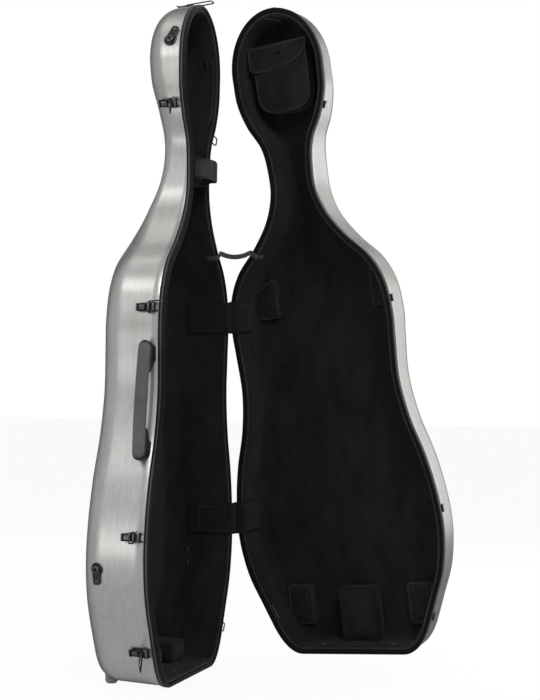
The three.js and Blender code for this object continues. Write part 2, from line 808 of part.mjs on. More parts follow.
// Modelled about its own pivot, pointing along -v before it is tilted. It reaches just behind the keeper's
// hook.
function latchBail() {
  const inner = LEVER_WIDTH * 0.28;
  const hooked = KEEPER_START + PLATE_THICKNESS + SEAT_GAP + BAIL_WIRE_RADIUS;
  const reach = LEVER_PIVOT_V + BAIL_OFFSET + hooked;
  const path = [
    [-inner, 0],
    [-BAIL_ROOT_HALF + BAIL_WIRE_RADIUS, 0],
    [-BAIL_ROOT_HALF, -BAIL_WIRE_RADIUS],
    [-BAIL_TIP_HALF, -reach + BAIL_TIP_ROUND],
    [-BAIL_TIP_HALF + BAIL_TIP_ROUND * 0.3, -reach + BAIL_TIP_ROUND * 0.3],
    [-BAIL_TIP_HALF + BAIL_TIP_ROUND, -reach],
  ];
  const mirror = path.map(([u, v]) => [-u, v]).reverse();
  const points = [...path, ...mirror].map(([u, v]) => new THREE.Vector3(u, v, 0));
  return sweep(points, ellipse(BAIL_WIRE_RADIUS, BAIL_WIRE_RADIUS, 6), new THREE.Vector3(0, 0, 1));
}

function keeper(frame) {
  const profile = [
    [KEEPER_START, -OVERRUN],
    [KEEPER_START + KEEPER_LENGTH, -OVERRUN],
    [KEEPER_START + KEEPER_LENGTH, PLATE_THICKNESS],
    [KEEPER_START + PLATE_THICKNESS, PLATE_THICKNESS],
    [KEEPER_START + PLATE_THICKNESS, KEEPER_HOOK - PLATE_THICKNESS],
    [KEEPER_START + KEEPER_LIP, KEEPER_HOOK - PLATE_THICKNESS],
    [KEEPER_START + KEEPER_LIP, KEEPER_HOOK],
    [KEEPER_START, KEEPER_HOOK],
  ];
  return seated(plateAcross(profile, KEEPER_WIDTH), frame, outside.lid);
}

function addLatch(base, lid, [name, side, share, tilt]) {
  const height = share * CASE_HEIGHT;
  const frame = sideFrame(shapes.base, side, height, 0);
  const seat = groupAt(frame);
  base.add(seat);
  part(seat, `latch_plate_${name}`, latchPlate(frame), material.blackMetal);
  const leverPivot = pivot(seat, `lever_pivot_${name}`, [0, LEVER_PIVOT_V, LEVER_PIVOT_H]);
  part(leverPivot, `latch_lever_${name}`, latchLever(), material.blackMetal);
  const bailPivot = pivot(leverPivot, `bail_pivot_${name}`, [0, BAIL_OFFSET, 0]);
  const bail = part(bailPivot, `latch_bail_${name}`, latchBail(), material.blackMetal);
  bail.rotation.x = -THREE.MathUtils.degToRad(tilt);
  const lidFrame = sideFrame(shapes.lid, side, height, 0);
  const lidSeat = groupAt(lidFrame);
  lid.add(lidSeat);
  part(lidSeat, `latch_keeper_${name}`, keeper(lidFrame), material.blackMetal);
}

// Strap anchor: a rosette turned from one profile, and a tab that swivels on its post under the cap

function rosette(frame) {
  const tabRoom = TAB_THICKNESS + 2 * PIN_CLEARANCE;
  const capLow = ROSETTE_THICKNESS + tabRoom;
  const profile = [
    [0, -OVERRUN],
    [ROSETTE_RADIUS, -OVERRUN],
    [ROSETTE_RADIUS, ROSETTE_THICKNESS * 0.6],
    [ROSETTE_RADIUS * 0.86, ROSETTE_THICKNESS],
    [ROSETTE_POST_RADIUS, ROSETTE_THICKNESS],
    [ROSETTE_POST_RADIUS, capLow],
    [ROSETTE_CAP_RADIUS, capLow],
    [ROSETTE_CAP_RADIUS * 0.7, capLow + ROSETTE_CAP_THICKNESS],
    [0, capLow + ROSETTE_CAP_THICKNESS],
  ];
  const turned = new THREE.LatheGeometry(profile.map(([r, h]) => new THREE.Vector2(r, h)), 16);
  return seated(turned.rotateX(Math.PI / 2), frame, outside.base);
}

function anchorTab() {
  const shape = new THREE.Shape();
  shape.absarc(0, 0, TAB_WIDTH / 2, 0, Math.PI, false);
  shape.lineTo(-TAB_WIDTH * 0.4, -TAB_LENGTH - TAB_HOLE_RADIUS);
  shape.lineTo(-TAB_WIDTH * 0.3, -TAB_LENGTH - 2 * TAB_HOLE_RADIUS);
  shape.lineTo(TAB_WIDTH * 0.3, -TAB_LENGTH - 2 * TAB_HOLE_RADIUS);
  shape.lineTo(TAB_WIDTH * 0.4, -TAB_LENGTH - TAB_HOLE_RADIUS);
  const postHole = new THREE.Path().absarc(0, 0, ROSETTE_POST_RADIUS + PIN_CLEARANCE, 0, 2 * Math.PI, true);
  const strapHole = new THREE.Path().absarc(0, -TAB_LENGTH, TAB_HOLE_RADIUS, 0, 2 * Math.PI, true);
  shape.holes.push(postHole, strapHole);
  return new THREE.ExtrudeGeometry(shape, { depth: TAB_THICKNESS, bevelEnabled: false, curveSegments: 5 });
}

function addAnchor(base, [name, side, heightShare, depthShare, turn]) {
  const frame = sideFrame(shapes.base, side, heightShare * CASE_HEIGHT, depthShare * BASE_DEPTH);
  const seat = groupAt(frame);
  base.add(seat);
  part(seat, `anchor_rosette_${name}`, rosette(frame), material.blackMetal);
  const tabPivot = pivot(seat, `tab_pivot_${name}`, [0, 0, ROSETTE_THICKNESS + PIN_CLEARANCE]);
  tabPivot.rotation.y = -Math.PI / 2;
  const down = new THREE.Vector3(0, 0, -1).transformDirection(frame.clone().invert());
  const hang = Math.atan2(down.x, -down.y);
  const tab = anchorTab().rotateZ(hang + side * -THREE.MathUtils.degToRad(turn)).rotateY(Math.PI / 2);
  part(tabPivot, `anchor_tab_${name}`, tab, material.blackMetal);
}

// Carrying handle: a bowed grip whose round ends lie in two cupped brackets

function handleFrame() {
  const [height, depth] = [handleShares[0] * CASE_HEIGHT, handleShares[1] * BASE_DEPTH];
  const ends = [-1, 1].map((end) => outlineAt(-1, height + (end * HANDLE_LENGTH) / 2).point);
  const u = ends[1].clone().sub(ends[0]).normalize();
  const v = new THREE.Vector3(0, 1, 0);
  const h = new THREE.Vector3().crossVectors(u, v);
  const origin = ends[0].clone().lerp(ends[1], 0.5).setY(depth);
  return new THREE.Matrix4().makeBasis(u, v, h).setPosition(origin);
}

function gripBody(grow) {
  const ends = gripEndShares.map(([place, w, t]) => [1 - (place * GRIP_WIDTH) / HANDLE_LENGTH, w, t]);
  const upper = [...ends, [0.6, 1, 1], [0.3, 1, 1]];
  const lower = upper.map(([place, w, t]) => [-place, w, t]);
  const rows = [...lower, [0, 1, 1], ...upper.reverse()];
  const points = rows.map(([place]) => {
    const along = place * (HANDLE_LENGTH / 2 + grow);
    return new THREE.Vector3(along, 0, GRIP_STANDOFF + GRIP_BOW * (1 - place * place));
  });
  const section = (i) => {
    const [, w, t] = rows[i];
    return softRectangle((GRIP_WIDTH / 2) * w + grow, (GRIP_THICKNESS / 2) * t + grow, 12);
  };
  return sweep(points, section, new THREE.Vector3(0, 1, 0));
}

// Cut from a side view, a heel and a sole under a long toe, and from a plan with a round end
function handleBracket(frame, end) {
  const tip = HANDLE_LENGTH / 2 + BRACKET_RIM;
  const half = GRIP_WIDTH / 2 + BRACKET_RIM;
  const root = -OVERRUN * 4;
  const heel = tip - BRACKET_HEEL;
  const side = new THREE.Shape();
  side.moveTo(heel, root);
  side.lineTo(heel, 0);
  side.quadraticCurveTo(tip, 0, tip, GRIP_STANDOFF);
  side.lineTo(tip - BRACKET_REACH, GRIP_STANDOFF);
  side.quadraticCurveTo(tip - BRACKET_REACH * 0.85, 0, heel - BRACKET_SOLE, 0);
  side.lineTo(heel - BRACKET_SOLE, root);
  side.closePath();
  const plan = new THREE.Shape();
  plan.moveTo(0, -half);
  plan.absarc(tip - half, 0, half, -Math.PI / 2, Math.PI / 2, false);
  plan.lineTo(0, half);
  plan.closePath();
  const options = { bevelEnabled: false, curveSegments: 5 };
  const profiled = new THREE.ExtrudeGeometry(side, { ...options, depth: half * 4 });
  const planned = new THREE.ExtrudeGeometry(plan, { ...options, depth: GRIP_STANDOFF * 2 - root * 2 });
  profiled.translate(0, 0, -half * 2).rotateX(Math.PI / 2);
  planned.translate(0, 0, root * 2);
  const cupped = cut(overlap(profiled, planned), gripBody(SEAT_GAP));
  return seated(end > 0 ? cupped : cupped.rotateZ(Math.PI), frame, outside.base);
}

function addHandle(base) {
  const frame = handleFrame();
  const seat = groupAt(frame);
  base.add(seat);
  part(seat, "handle_grip", gripBody(0), material.rubber);
  part(seat, "handle_bracket_lower", handleBracket(frame, -1), material.blackPlastic);
  part(seat, "handle_bracket_upper", handleBracket(frame, 1), material.blackPlastic);
}

// Hinges: a leaf on each shell, three knuckles and a pin on the common leaning axis

const hinges = hingeShares.map(([name, widthShare, heightShare]) => {
  const place = new THREE.Vector3(widthShare * BOUT_HALF_WIDTH, 0, heightShare * CASE_HEIGHT);
  return { name, place };
});
const hingeOrigin = hinges[1].place;
const hingeAxis = hinges[0].place.clone().sub(hingeOrigin).normalize();
const hingeOut = new THREE.Vector3(hingeAxis.z, 0, -hingeAxis.x);

// Frame with u along the hinge axis, v away from the parting plane and h outwards
function hingeFrame(sign, place) {
  const v = new THREE.Vector3(0, sign, 0);
  const u = new THREE.Vector3().crossVectors(v, hingeOut);
  return new THREE.Matrix4().makeBasis(u, v, hingeOut).setPosition(place);
}

function knuckle(low, high) {
  const tube = barAcross(KNUCKLE_RADIUS, high - low, 12);
  const webTop = -KNUCKLE_RADIUS + LEAF_THICKNESS;
  const web = block([low, 0, -KNUCKLE_RADIUS], [high, LEAF_START + OVERRUN, webTop]);
  return join(tube.translate((low + high) / 2, 0, 0), web);
}

function hingeLeaf(shape, place, knuckles) {
  const frame = hingeFrame(shape.sign, place);
  const depth = OVERRUN * 4;
  const leaf = block(
    [-HINGE_LENGTH / 2, LEAF_START, -KNUCKLE_RADIUS - depth],
    [HINGE_LENGTH / 2, LEAF_REACH, -KNUCKLE_RADIUS + LEAF_THICKNESS],
  );
  const solid = join(leaf, ...knuckles.map(([low, high]) => knuckle(low, high)));
  const bore = barAcross(HINGE_PIN_RADIUS + PIN_CLEARANCE, HINGE_LENGTH * 2, 10);
  return { frame, solid: seated(cut(solid, bore), frame, shape.sign > 0 ? outside.base : outside.lid) };
}

function addHinge(base, lid, { name, place }) {
  const end = HINGE_LENGTH / 2;
  const middle = HINGE_LENGTH / 6;
  const outer = middle + PIN_CLEARANCE;
  const baseLeaf = hingeLeaf(shapes.base, place, [[-end, -outer], [outer, end]]);
  const baseSeat = groupAt(baseLeaf.frame);
  base.add(baseSeat);
  part(baseSeat, `hinge_base_leaf_${name}`, baseLeaf.solid, material.blackMetal);
  const pin = barAcross(HINGE_PIN_RADIUS, HINGE_LENGTH, 10);
  part(baseSeat, `hinge_pin_${name}`, pin, material.blackMetal);
  const lidLeaf = hingeLeaf(shapes.lid, place, [[-middle, middle]]);
  const lidSeat = groupAt(lidLeaf.frame);
  lid.add(lidSeat);
  part(lidSeat, `hinge_lid_leaf_${name}`, lidLeaf.solid, material.blackMetal);
}

// The open lid's place: closed coordinates turned about the hinge line
const openTurn = new THREE.Quaternion().setFromAxisAngle(hingeAxis, THREE.MathUtils.degToRad(OPEN_ANGLE_DEG));

function opened(point) {
  return point.clone().sub(hingeOrigin).applyQuaternion(openTurn).add(hingeOrigin);
}

// Padded cover: down the base's inner wall, over both bands and down the lid's inner wall
function hingeCover(middle) {
  const wall = wallInset(LINING_INSIDE, 0) + COVER_SEAT + COVER_THICKNESS / 2;
  const front = COVER_SEAT + COVER_THICKNESS;
  const baseReach = Math.min(COVER_BASE_REACH, spanSection(shapes.base, middle + COVER_HEIGHT / 2).straight);
  const route = (reach) => [
    [wall + SIDE_DRAFT * reach, reach],
    [wall + SIDE_DRAFT * reach * 0.5, reach * 0.5],
    [wall, BASE_WEB],
    [wall - COVER_THICKNESS / 2, -front * 0.6],
    [BAND_FACE, -front - COVER_THICKNESS / 4],
    [TONGUE_START, -front - COVER_THICKNESS / 2],
  ];
  const grid = Array.from({ length: COVER_ROWS + 1 }, (_, k) => {
    const height = middle + COVER_HEIGHT * (k / COVER_ROWS - 0.5);
    const baseSide = route(baseReach).map(([inset, depth]) => innerPoint(height, inset, depth));
    const lidSide = route(COVER_LID_REACH).map(([inset, depth]) => opened(innerPoint(height, inset, -depth)));
    return [...baseSide, ...lidSide.reverse()];
  });
  return sheet(grid, COVER_THICKNESS);
}

// Stay strap: from the base's inner wall over its band, sagging to the lid's band and inner wall
function stayStrap() {
  const height = stayShare * CASE_HEIGHT;
  const wall = wallInset(LINING_INSIDE, 0) + STAY_THICKNESS;
  const front = TONGUE_HEIGHT + 2 * STAY_THICKNESS;
  const route = [
    [wall + SIDE_DRAFT * STAY_END_DEPTH, STAY_END_DEPTH],
    [wall, BASE_WEB * 0.5],
    [BAND_FACE + 2 * STAY_THICKNESS, -front * 0.5],
    [TONGUE_START + TONGUE_WIDTH, -front],
    [0, -front],
  ];
  const baseSide = route.map(([inset, depth]) => innerPoint(height, inset, depth));
  const lidSide = route.map(([inset, depth]) => opened(innerPoint(height, inset, -depth)));
  const [from, to] = [baseSide[route.length - 1], lidSide[route.length - 1]];
  const sagging = [0.2, 0.4, 0.6, 0.8].map((share) => {
    const drop = 4 * STAY_SAG * share * (1 - share);
    return from.clone().lerp(to, share).add(new THREE.Vector3(0, 0, -drop));
  });
  const path = [...baseSide, ...sagging, ...lidSide.reverse()];
  const { outward } = outlineAt(1, height);
  const onBase = new THREE.Vector3(-outward.z, 0, outward.x);
  const onLid = onBase.clone().applyQuaternion(openTurn);
  const level = new THREE.Vector3(0, 0, 1);
  const ups = path.map((_, i) => {
    const fromEnd = Math.min(i, path.length - 1 - i) / (route.length + 1);
    const flat = i < path.length / 2 ? onBase : onLid;
    return flat.clone().lerp(level, Math.min(1, fromEnd * fromEnd));
  });
  return sweep(path, rectangle(STAY_WIDTH / 2, STAY_THICKNESS / 2), ups);
}

// Feet: domed rubber studs whose tops follow the bottom wall

function foot(x) {
  const dome = footShares.map(([r, z]) => new THREE.Vector2(r * FOOT_RADIUS, z * FOOT_DOME));
  const profile = [...dome, new THREE.Vector2(FOOT_RADIUS, FOOT_TOP), new THREE.Vector2(0, FOOT_TOP)];
  const stud = new THREE.LatheGeometry(profile, 14).rotateX(Math.PI / 2);
  return cut(stud.translate(x, BASE_DEPTH - FOOT_SETBACK, 0), outside.base);
}

// Neck cradle: a foam block with chamfered front edges and a notch for the neck, and a strap over it

const cradleMiddle = cradleShare * CASE_HEIGHT;

function neckCradle() {
  const { depth } = spanSection(shapes.base, cradleMiddle);
  const half = CRADLE_HEIGHT / 2;
  const [low, high] = [cradleMiddle - half, cradleMiddle + half];
  const profile = [
    [depth, low],
    [CRADLE_FRONT + CRADLE_CHAMFER_DEPTH, low],
    [CRADLE_FRONT, low + CRADLE_CHAMFER_HEIGHT],
    [CRADLE_FRONT, high - CRADLE_CHAMFER_HEIGHT],
    [CRADLE_FRONT + CRADLE_CHAMFER_DEPTH, high],
    [depth, high],
  ];
  const solid = plateAcross(profile, CRADLE_HALF_WIDTH * 2);
  const notch = block(
    [-CRADLE_NOTCH_HALF, CRADLE_FRONT - OVERRUN, low - OVERRUN],
    [CRADLE_NOTCH_HALF, CRADLE_FRONT + CRADLE_NOTCH_DEPTH, high + OVERRUN],
  );
  const room = filledBody(shapes.base, LINING_INSIDE + SEAT_GAP, CRADLE_FRONT - OVERRUN);
  return overlap(cut(solid, notch), room);
}

function neckStrap() {
  const rest = CRADLE_FRONT - SEAT_GAP - NECK_STRAP_THICKNESS / 2;
  const side = CRADLE_HALF_WIDTH + SEAT_GAP + NECK_STRAP_THICKNESS / 2;
  const rightHalf = [
    [side * 0.5, rest - NECK_STRAP_RISE * 0.7],
    [side - NECK_STRAP_THICKNESS / 2, rest],
    [side, rest + NECK_STRAP_THICKNESS / 2],
    [side, BAND_DEPTH / 2],
  ];
  const leftHalf = rightHalf.map(([x, y]) => [-x, y]).reverse();
  const places = [...leftHalf, [0, rest - NECK_STRAP_RISE], ...rightHalf];
  const path = places.map(([x, y]) => new THREE.Vector3(x, y, cradleMiddle));
  const section = rectangle(NECK_STRAP_WIDTH / 2, NECK_STRAP_THICKNESS / 2);
  return sweep(path, section, new THREE.Vector3(0, 0, 1));
}

// Blocks and pads on the linings. Each reaches past the lining's inner face and is trimmed to its room.

function endCushion(side) {
  const centre = { x: (side * (END_CUSHION_INNER + END_CUSHION_OUTER)) / 2, z: END_CUSHION_HEIGHT / 2 };
  const halfWidth = (END_CUSHION_OUTER - END_CUSHION_INNER) / 2;
  const back = BASE_DEPTH * 2;
  return padded(centre, halfWidth, END_CUSHION_HEIGHT / 2, back, END_CUSHION_FRONT, PAD_EDGE, PAD_CROWN, 1);
}

function lidBlock() {
  const centre = { x: 0, z: LID_BLOCK_HEIGHT / 2 };
  const [back, halfHeight] = [LID_DEPTH * 2, LID_BLOCK_HEIGHT / 2];
  return padded(centre, LID_BLOCK_HALF_WIDTH, halfHeight, back, LID_BLOCK_FRONT, PAD_EDGE, PAD_CROWN, -1);
}

function lidPad(side, share, shoulder) {
  const height = share * CASE_HEIGHT;
  const { depth } = spanSection(shapes.lid, height);
  const centre = { x: (side * (PAD_INNER + PAD_OUTER)) / 2, z: height };
  const front = depth - LINING_INSIDE - PAD_THICKNESS;
  const halfWidth = (PAD_OUTER - PAD_INNER) / 2;
  const back = LID_DEPTH * 2;
  return padded(centre, halfWidth, PAD_HEIGHT / 2, back, front, PAD_EDGE, PAD_CROWN, -1, side * shoulder);
}

// Pocket: a soft box with a rounded bottom, stepped at its front edge, open at its mouth and towards the
// lining that it is sewn on, and a flap over its mouth

const pocketTop = pocketShare * CASE_HEIGHT + POCKET_HEIGHT / 2;

function pocketOutline(shrink) {
  const halfWidth = POCKET_HALF_WIDTH - shrink;
  const bottom = pocketTop - POCKET_HEIGHT + shrink;
  const low = bottom + halfWidth * 0.55;
  const shape = new THREE.Shape();
  shape.moveTo(-halfWidth, pocketTop - shrink);
  shape.lineTo(-halfWidth * 0.94, low);
  shape.bezierCurveTo(-halfWidth * 0.9, bottom, -halfWidth * 0.4, bottom, 0, bottom);
  shape.bezierCurveTo(halfWidth * 0.4, bottom, halfWidth * 0.9, bottom, halfWidth * 0.94, low);
  shape.lineTo(halfWidth, pocketTop - shrink);
  shape.closePath();
  return shape;
}

// Turns a flat outline in x and z, pushed forwards, to stand in the lid with its front towards the base
function standing(geometry, front) {
  return geometry.rotateX(Math.PI / 2).translate(POCKET_CENTRE_X, front, 0);
}

function pocketBody() {
  const solid = (shrink, front) => {
    const options = { depth: LID_DEPTH, bevelEnabled: false, curveSegments: 4 };
    return standing(new THREE.ExtrudeGeometry(pocketOutline(shrink), options), -front);
  };
  const outer = join(solid(POCKET_EDGE_ROUND, POCKET_FRONT), solid(0, POCKET_FRONT + POCKET_EDGE_ROUND));
  const inner = solid(POCKET_EDGE_ROUND + POCKET_WALL, POCKET_FRONT + POCKET_WALL);
  const mouth = inner.clone().translate(0, 0, POCKET_EDGE_ROUND * 3);
  const room = filledBody(shapes.lid, LINING_INSIDE + SEAT_GAP, 0);
  return overlap(cut(outer, join(inner, mouth)), room);
}

function pocketFlap() {
  const half = POCKET_HALF_WIDTH + FLAP_THICKNESS;
  const shape = new THREE.Shape();
  shape.moveTo(-half, 0);
  shape.bezierCurveTo(-half, -FLAP_DROP * 0.75, -half * 0.35, -FLAP_DROP, half * 0.5, -FLAP_DROP);
  shape.lineTo(half * 0.88, -FLAP_DROP * 0.98);
  shape.lineTo(half, -FLAP_DROP * 0.86);
  shape.lineTo(half, 0);
  shape.closePath();
  const options = { depth: FLAP_THICKNESS, bevelEnabled: false, curveSegments: 6 };
  return new THREE.ExtrudeGeometry(shape, options).rotateX(Math.PI / 2);
}

function addPocket(lid) {
  part(lid, "pocket", pocketBody(), material.lining);
  const front = -POCKET_FRONT + SEAT_GAP + FLAP_THICKNESS;
  const flapPivot = pivot(lid, "flap_pivot", [POCKET_CENTRE_X, front, pocketTop + FLAP_RISE]);
  part(flapPivot, "pocket_flap", pocketFlap(), material.lining);
}

// Assembly

const cello_case = new THREE.Group();
const rimFrame = new THREE.Group();
rimFrame.position.y = -BAND_DEPTH / 2;
cello_case.add(rimFrame);

const base = new THREE.Group();
rimFrame.add(base);

const lidPivot = new THREE.Group();
lidPivot.name = "lid_pivot";
lidPivot.position.copy(hingeOrigin);
lidPivot.quaternion.copy(openTurn);
rimFrame.add(lidPivot);
const lid = new THREE.Group();
lid.position.copy(hingeOrigin).negate();
lidPivot.add(lid);

linedShell(base, shapes.base, "base", baseFront, [endCushion(-1), endCushion(1)]);
part(base, "base_rim_band", baseBand(), material.band);
linedShell(lid, shapes.lid, "lid", lidFront, [
  lidBlock(),
  lidPad(-1, upperPadShare, PAD_SHOULDER),
  lidPad(1, upperPadShare, PAD_SHOULDER),
  lidPad(-1, lowerPadShare, 0),
  lidPad(1, lowerPadShare, 0),
]);
part(lid, "lid_rim_band", lidBand(), material.band);
latchShares.forEach((place) => addLatch(base, lid, place));
anchorShares.forEach((place) => addAnchor(base, place));
hinges.forEach((hinge) => addHinge(base, lid, hinge));
hinges.forEach(({ name, place }) => part(base, `hinge_cover_${name}`, hingeCover(place.z), material.lining));
part(base, "lid_stay_strap", stayStrap(), material.webbing);
addHandle(base);
part(base, "foot_front_side", foot(-FOOT_X), material.rubber);
part(base, "foot_hinge_side", foot(FOOT_X), material.rubber);
part(base, "neck_cradle", neckCradle(), material.lining);
part(base, "neck_strap", neckStrap(), material.webbing);
addPocket(lid);

export default cello_case;
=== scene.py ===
"""Cello hard case standing open: fine surfaces, soft pieces, materials, light and camera round the CAD frame."""

import math
from collections import namedtuple
from types import SimpleNamespace

import bmesh
import bpy
import numpy as np
from mathutils import Matrix, Vector
from mathutils.bvhtree import BVHTree


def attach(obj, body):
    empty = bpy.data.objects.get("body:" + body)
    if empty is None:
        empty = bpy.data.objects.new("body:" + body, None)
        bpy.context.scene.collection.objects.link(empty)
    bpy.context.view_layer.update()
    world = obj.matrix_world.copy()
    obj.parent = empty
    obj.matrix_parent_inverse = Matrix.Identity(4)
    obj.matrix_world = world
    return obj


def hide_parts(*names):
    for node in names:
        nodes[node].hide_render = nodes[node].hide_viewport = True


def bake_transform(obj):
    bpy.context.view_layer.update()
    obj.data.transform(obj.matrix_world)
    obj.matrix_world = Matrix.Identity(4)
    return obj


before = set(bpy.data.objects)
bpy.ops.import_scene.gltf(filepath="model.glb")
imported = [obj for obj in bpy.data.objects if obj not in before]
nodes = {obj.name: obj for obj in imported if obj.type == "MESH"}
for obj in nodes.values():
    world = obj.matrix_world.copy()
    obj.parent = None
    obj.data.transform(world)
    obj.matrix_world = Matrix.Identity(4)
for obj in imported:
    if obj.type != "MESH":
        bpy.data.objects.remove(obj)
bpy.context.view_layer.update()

# Sizes of the two shells in millimetres, as the solids have them
MM = 0.001
CASE_HEIGHT = 1340.0
BOUT_HALF_WIDTH = 239.3
FLAT_HALF_WIDTH = 118.0
CORNER_HEIGHT = 60.0
SPINE_LOW = 110.0
SPINE_HIGH = 1235.0
SIDE_SHARES = [
    (0.759, 0.0448), (0.848, 0.0821), (0.948, 0.1269), (1.0, 0.1836), (0.985, 0.2388),
    (0.922, 0.2985), (0.821, 0.3582), (0.77, 0.4179), (0.781, 0.4776), (0.79, 0.5187),
    (0.752, 0.5672), (0.648, 0.6045), (0.447, 0.6418), (0.294, 0.6791), (0.217, 0.7164),
    (0.2115, 0.7537), (0.246, 0.791), (0.361, 0.8284), (0.43, 0.8657), (0.443, 0.9067),
]
BASE_DEPTH_SHARES = [
    (0, 1), (0.19, 0.965), (0.42, 0.92), (0.56, 0.895), (0.63, 0.84), (0.69, 0.66),
    (0.735, 0.5), (0.78, 0.44), (0.83, 0.48), (0.875, 0.565), (0.92, 0.6), (1, 0.6),
]
LID_DEPTH_SHARES = [
    (0, 0.79), (0.19, 0.84), (0.42, 0.86), (0.52, 0.93), (0.6, 0.96), (0.7, 1),
    (0.78, 0.95), (0.86, 0.76), (0.92, 0.7), (1, 0.7),
]
SHELL_WALL = 3.0
SIDE_DRAFT = 0.04
ROUNDING_WIDTH_SHARE = 0.5
NORMAL_REACH = 12.0
SEAT_GAP = 0.3
PARTING_GAP = 0.4
BAND_DEPTH = 13.0
BAND_LIP = 1.7
BAND_FACE = 7.5
BASE_WEB = 2.5
GROOVE_FLOOR = 1.6
LINING_THICKNESS = 9.0
LINING_OUTSIDE = SHELL_WALL + SEAT_GAP
LINING_INSIDE = LINING_OUTSIDE + LINING_THICKNESS
HINGE_POINT = Vector((233.6, 0, 400.0))
HINGE_LEAN = math.radians(7.39)
OPEN_ANGLE = math.radians(76)

# How finely the surfaces are divided
FINE = 8
ROUND_STEPS = 12
CROWN_STEPS = 10
BLEND_START = 4.0
BLEND_END = 44.0

HINGE_AXIS = Vector((-math.sin(HINGE_LEAN), 0, math.cos(HINGE_LEAN)))
TURN_OPEN = Matrix.Rotation(OPEN_ANGLE, 4, HINGE_AXIS)
RIM_PLACE = Matrix.Translation((0, -BAND_DEPTH / 2, 0))
LID_PLACE = RIM_PLACE @ Matrix.Translation(HINGE_POINT) @ TURN_OPEN @ Matrix.Translation(-HINGE_POINT)

BASE = SimpleNamespace(
    name="base", sign=1, depth=153.0, shares=BASE_DEPTH_SHARES, rounding=52.0, crown=12.0,
    front=PARTING_GAP / 2 + BASE_WEB + SEAT_GAP, place=RIM_PLACE)
LID = SimpleNamespace(
    name="lid", sign=-1, depth=104.0, shares=LID_DEPTH_SHARES, rounding=32.0, crown=9.0,
    front=PARTING_GAP / 2 + BASE_WEB + GROOVE_FLOOR + SEAT_GAP, place=LID_PLACE)


# Outline and sections of the shells

def hermite(p1, p2, v1, v2, w):
    """A point of the cubic from p1 to p2 with the slopes v1 and v2."""
    return p1 + v1 * w + (3 * p2 - 3 * p1 - 2 * v1 - v2) * w**2 + (2 * p1 - 2 * p2 + v1 + v2) * w**3


def smooth_curve(points, places):
    """Points of the uniform Catmull-Rom curve through points. Places count from 0, the first, to the last's number."""
    p = np.array(points, float)
    last = len(p) - 1
    curve = []
    for t in places:
        k = min(int(t), last - 1)
        slopes = (p[k + 1] - p[max(k - 1, 0)]) / 2, (p[min(k + 2, last)] - p[k]) / 2
        curve.append(hermite(p[k], p[k + 1], *slopes, t - k))
    return curve


def smooth_path(points, steps):
    return smooth_curve(points, np.arange((len(points) - 1) * steps + 1) / steps)


DEPTH_STEPS = 6
for shape in (BASE, LID):
    count = len(shape.shares)
    shape.table = np.array(smooth_curve(shape.shares, np.linspace(0, count - 1, count * DEPTH_STEPS + 1)))


def centripetal_point(p, t):
    """A point of the centripetal Catmull-Rom curve through p, at t from 0 to 1."""
    last = len(p) - 1
    k = min(int(t * last), last - 1)
    w = t * last - k
    before = p[k - 1] if k > 0 else 2 * p[0] - p[1]
    after = p[k + 2] if k + 2 <= last else 2 * p[last] - p[last - 1]
    q = [before, p[k], p[k + 1], after]
    d = [math.sqrt(np.linalg.norm(q[i + 1] - q[i])) for i in range(3)]
    v1 = ((q[1] - q[0]) / d[0] - (q[2] - q[0]) / (d[0] + d[1]) + (q[2] - q[1]) / d[1]) * d[1]
    v2 = ((q[2] - q[1]) / d[1] - (q[3] - q[1]) / (d[1] + d[2]) + (q[3] - q[2]) / d[2]) * d[1]
    return hermite(q[1], q[2], v1, v2, w)


def half_outline():
    """The outline from the middle of the flat bottom over the side to the top, as x and z."""
    side = np.array([(w * BOUT_HALF_WIDTH, z * CASE_HEIGHT) for w, z in SIDE_SHARES])
    side[0][1] = CORNER_HEIGHT
    lean = centripetal_point(side, 1e-4) - side[0]
    lean /= np.linalg.norm(lean)
    start = np.array([FLAT_HALF_WIDTH, 0.0])
    corner = [start, start + (side[0] - start) * (0.5, 0), side[0] - lean * CORNER_HEIGHT * 0.45, side[0]]
    points = [start * share for share in np.arange(2 * FINE) / (2 * FINE)]
    for t in np.arange(4 * FINE) / (4 * FINE):
        weights = [(1 - t) ** 3, 3 * t * (1 - t) ** 2, 3 * t * t * (1 - t), t**3]
        points.append(sum(weight * point for weight, point in zip(weights, corner)))
    points += [centripetal_point(side, i / (24 * FINE)) for i in range(24 * FINE)]
    shoulder = side[-1]
    for turn in np.linspace(0, math.pi / 2, 6 * FINE + 1):
        rise = (CASE_HEIGHT - shoulder[1]) * math.sin(turn)
        points.append(np.array([shoulder[0] * math.cos(turn), shoulder[1] + rise]))
    points[-1][0] = 0
    return np.array(points)


half = half_outline()
outline = np.vstack([half, half[1:-1][::-1] * (-1, 1)])
COUNT = len(outline)
along = np.roll(outline, -1, axis=0) - np.roll(outline, 1, axis=0)
along /= np.linalg.norm(along, axis=1)[:, None]
inward = np.stack([-along[:, 1], along[:, 0]], axis=1)
spine = np.stack([np.zeros(COUNT), np.clip(outline[:, 1], SPINE_LOW, SPINE_HIGH)], axis=1)
turning = outline + inward * NORMAL_REACH
to_spine = spine - turning
reach = NORMAL_REACH + np.linalg.norm(to_spine, axis=1)
to_spine /= np.linalg.norm(to_spine, axis=1)[:, None]


def smooth_step(x):
    x = np.clip(x, 0, 1)
    return x * x * (3 - 2 * x)


def ring(inset, depth):
    """Points at an inset and a depth, one a station: square to the outline at first, then towards the spine."""
    inset = np.broadcast_to(np.asarray(inset, float), (COUNT,))[:, None]
    depth = np.broadcast_to(np.asarray(depth, float), (COUNT,))
    square = outline + inward * inset
    straight = turning + to_spine * (inset - NORMAL_REACH)
    weight = smooth_step((inset - BLEND_START) / (BLEND_END - BLEND_START))
    flat = square + (straight - square) * weight
    return np.stack([flat[:, 0], depth, flat[:, 1]], axis=1)


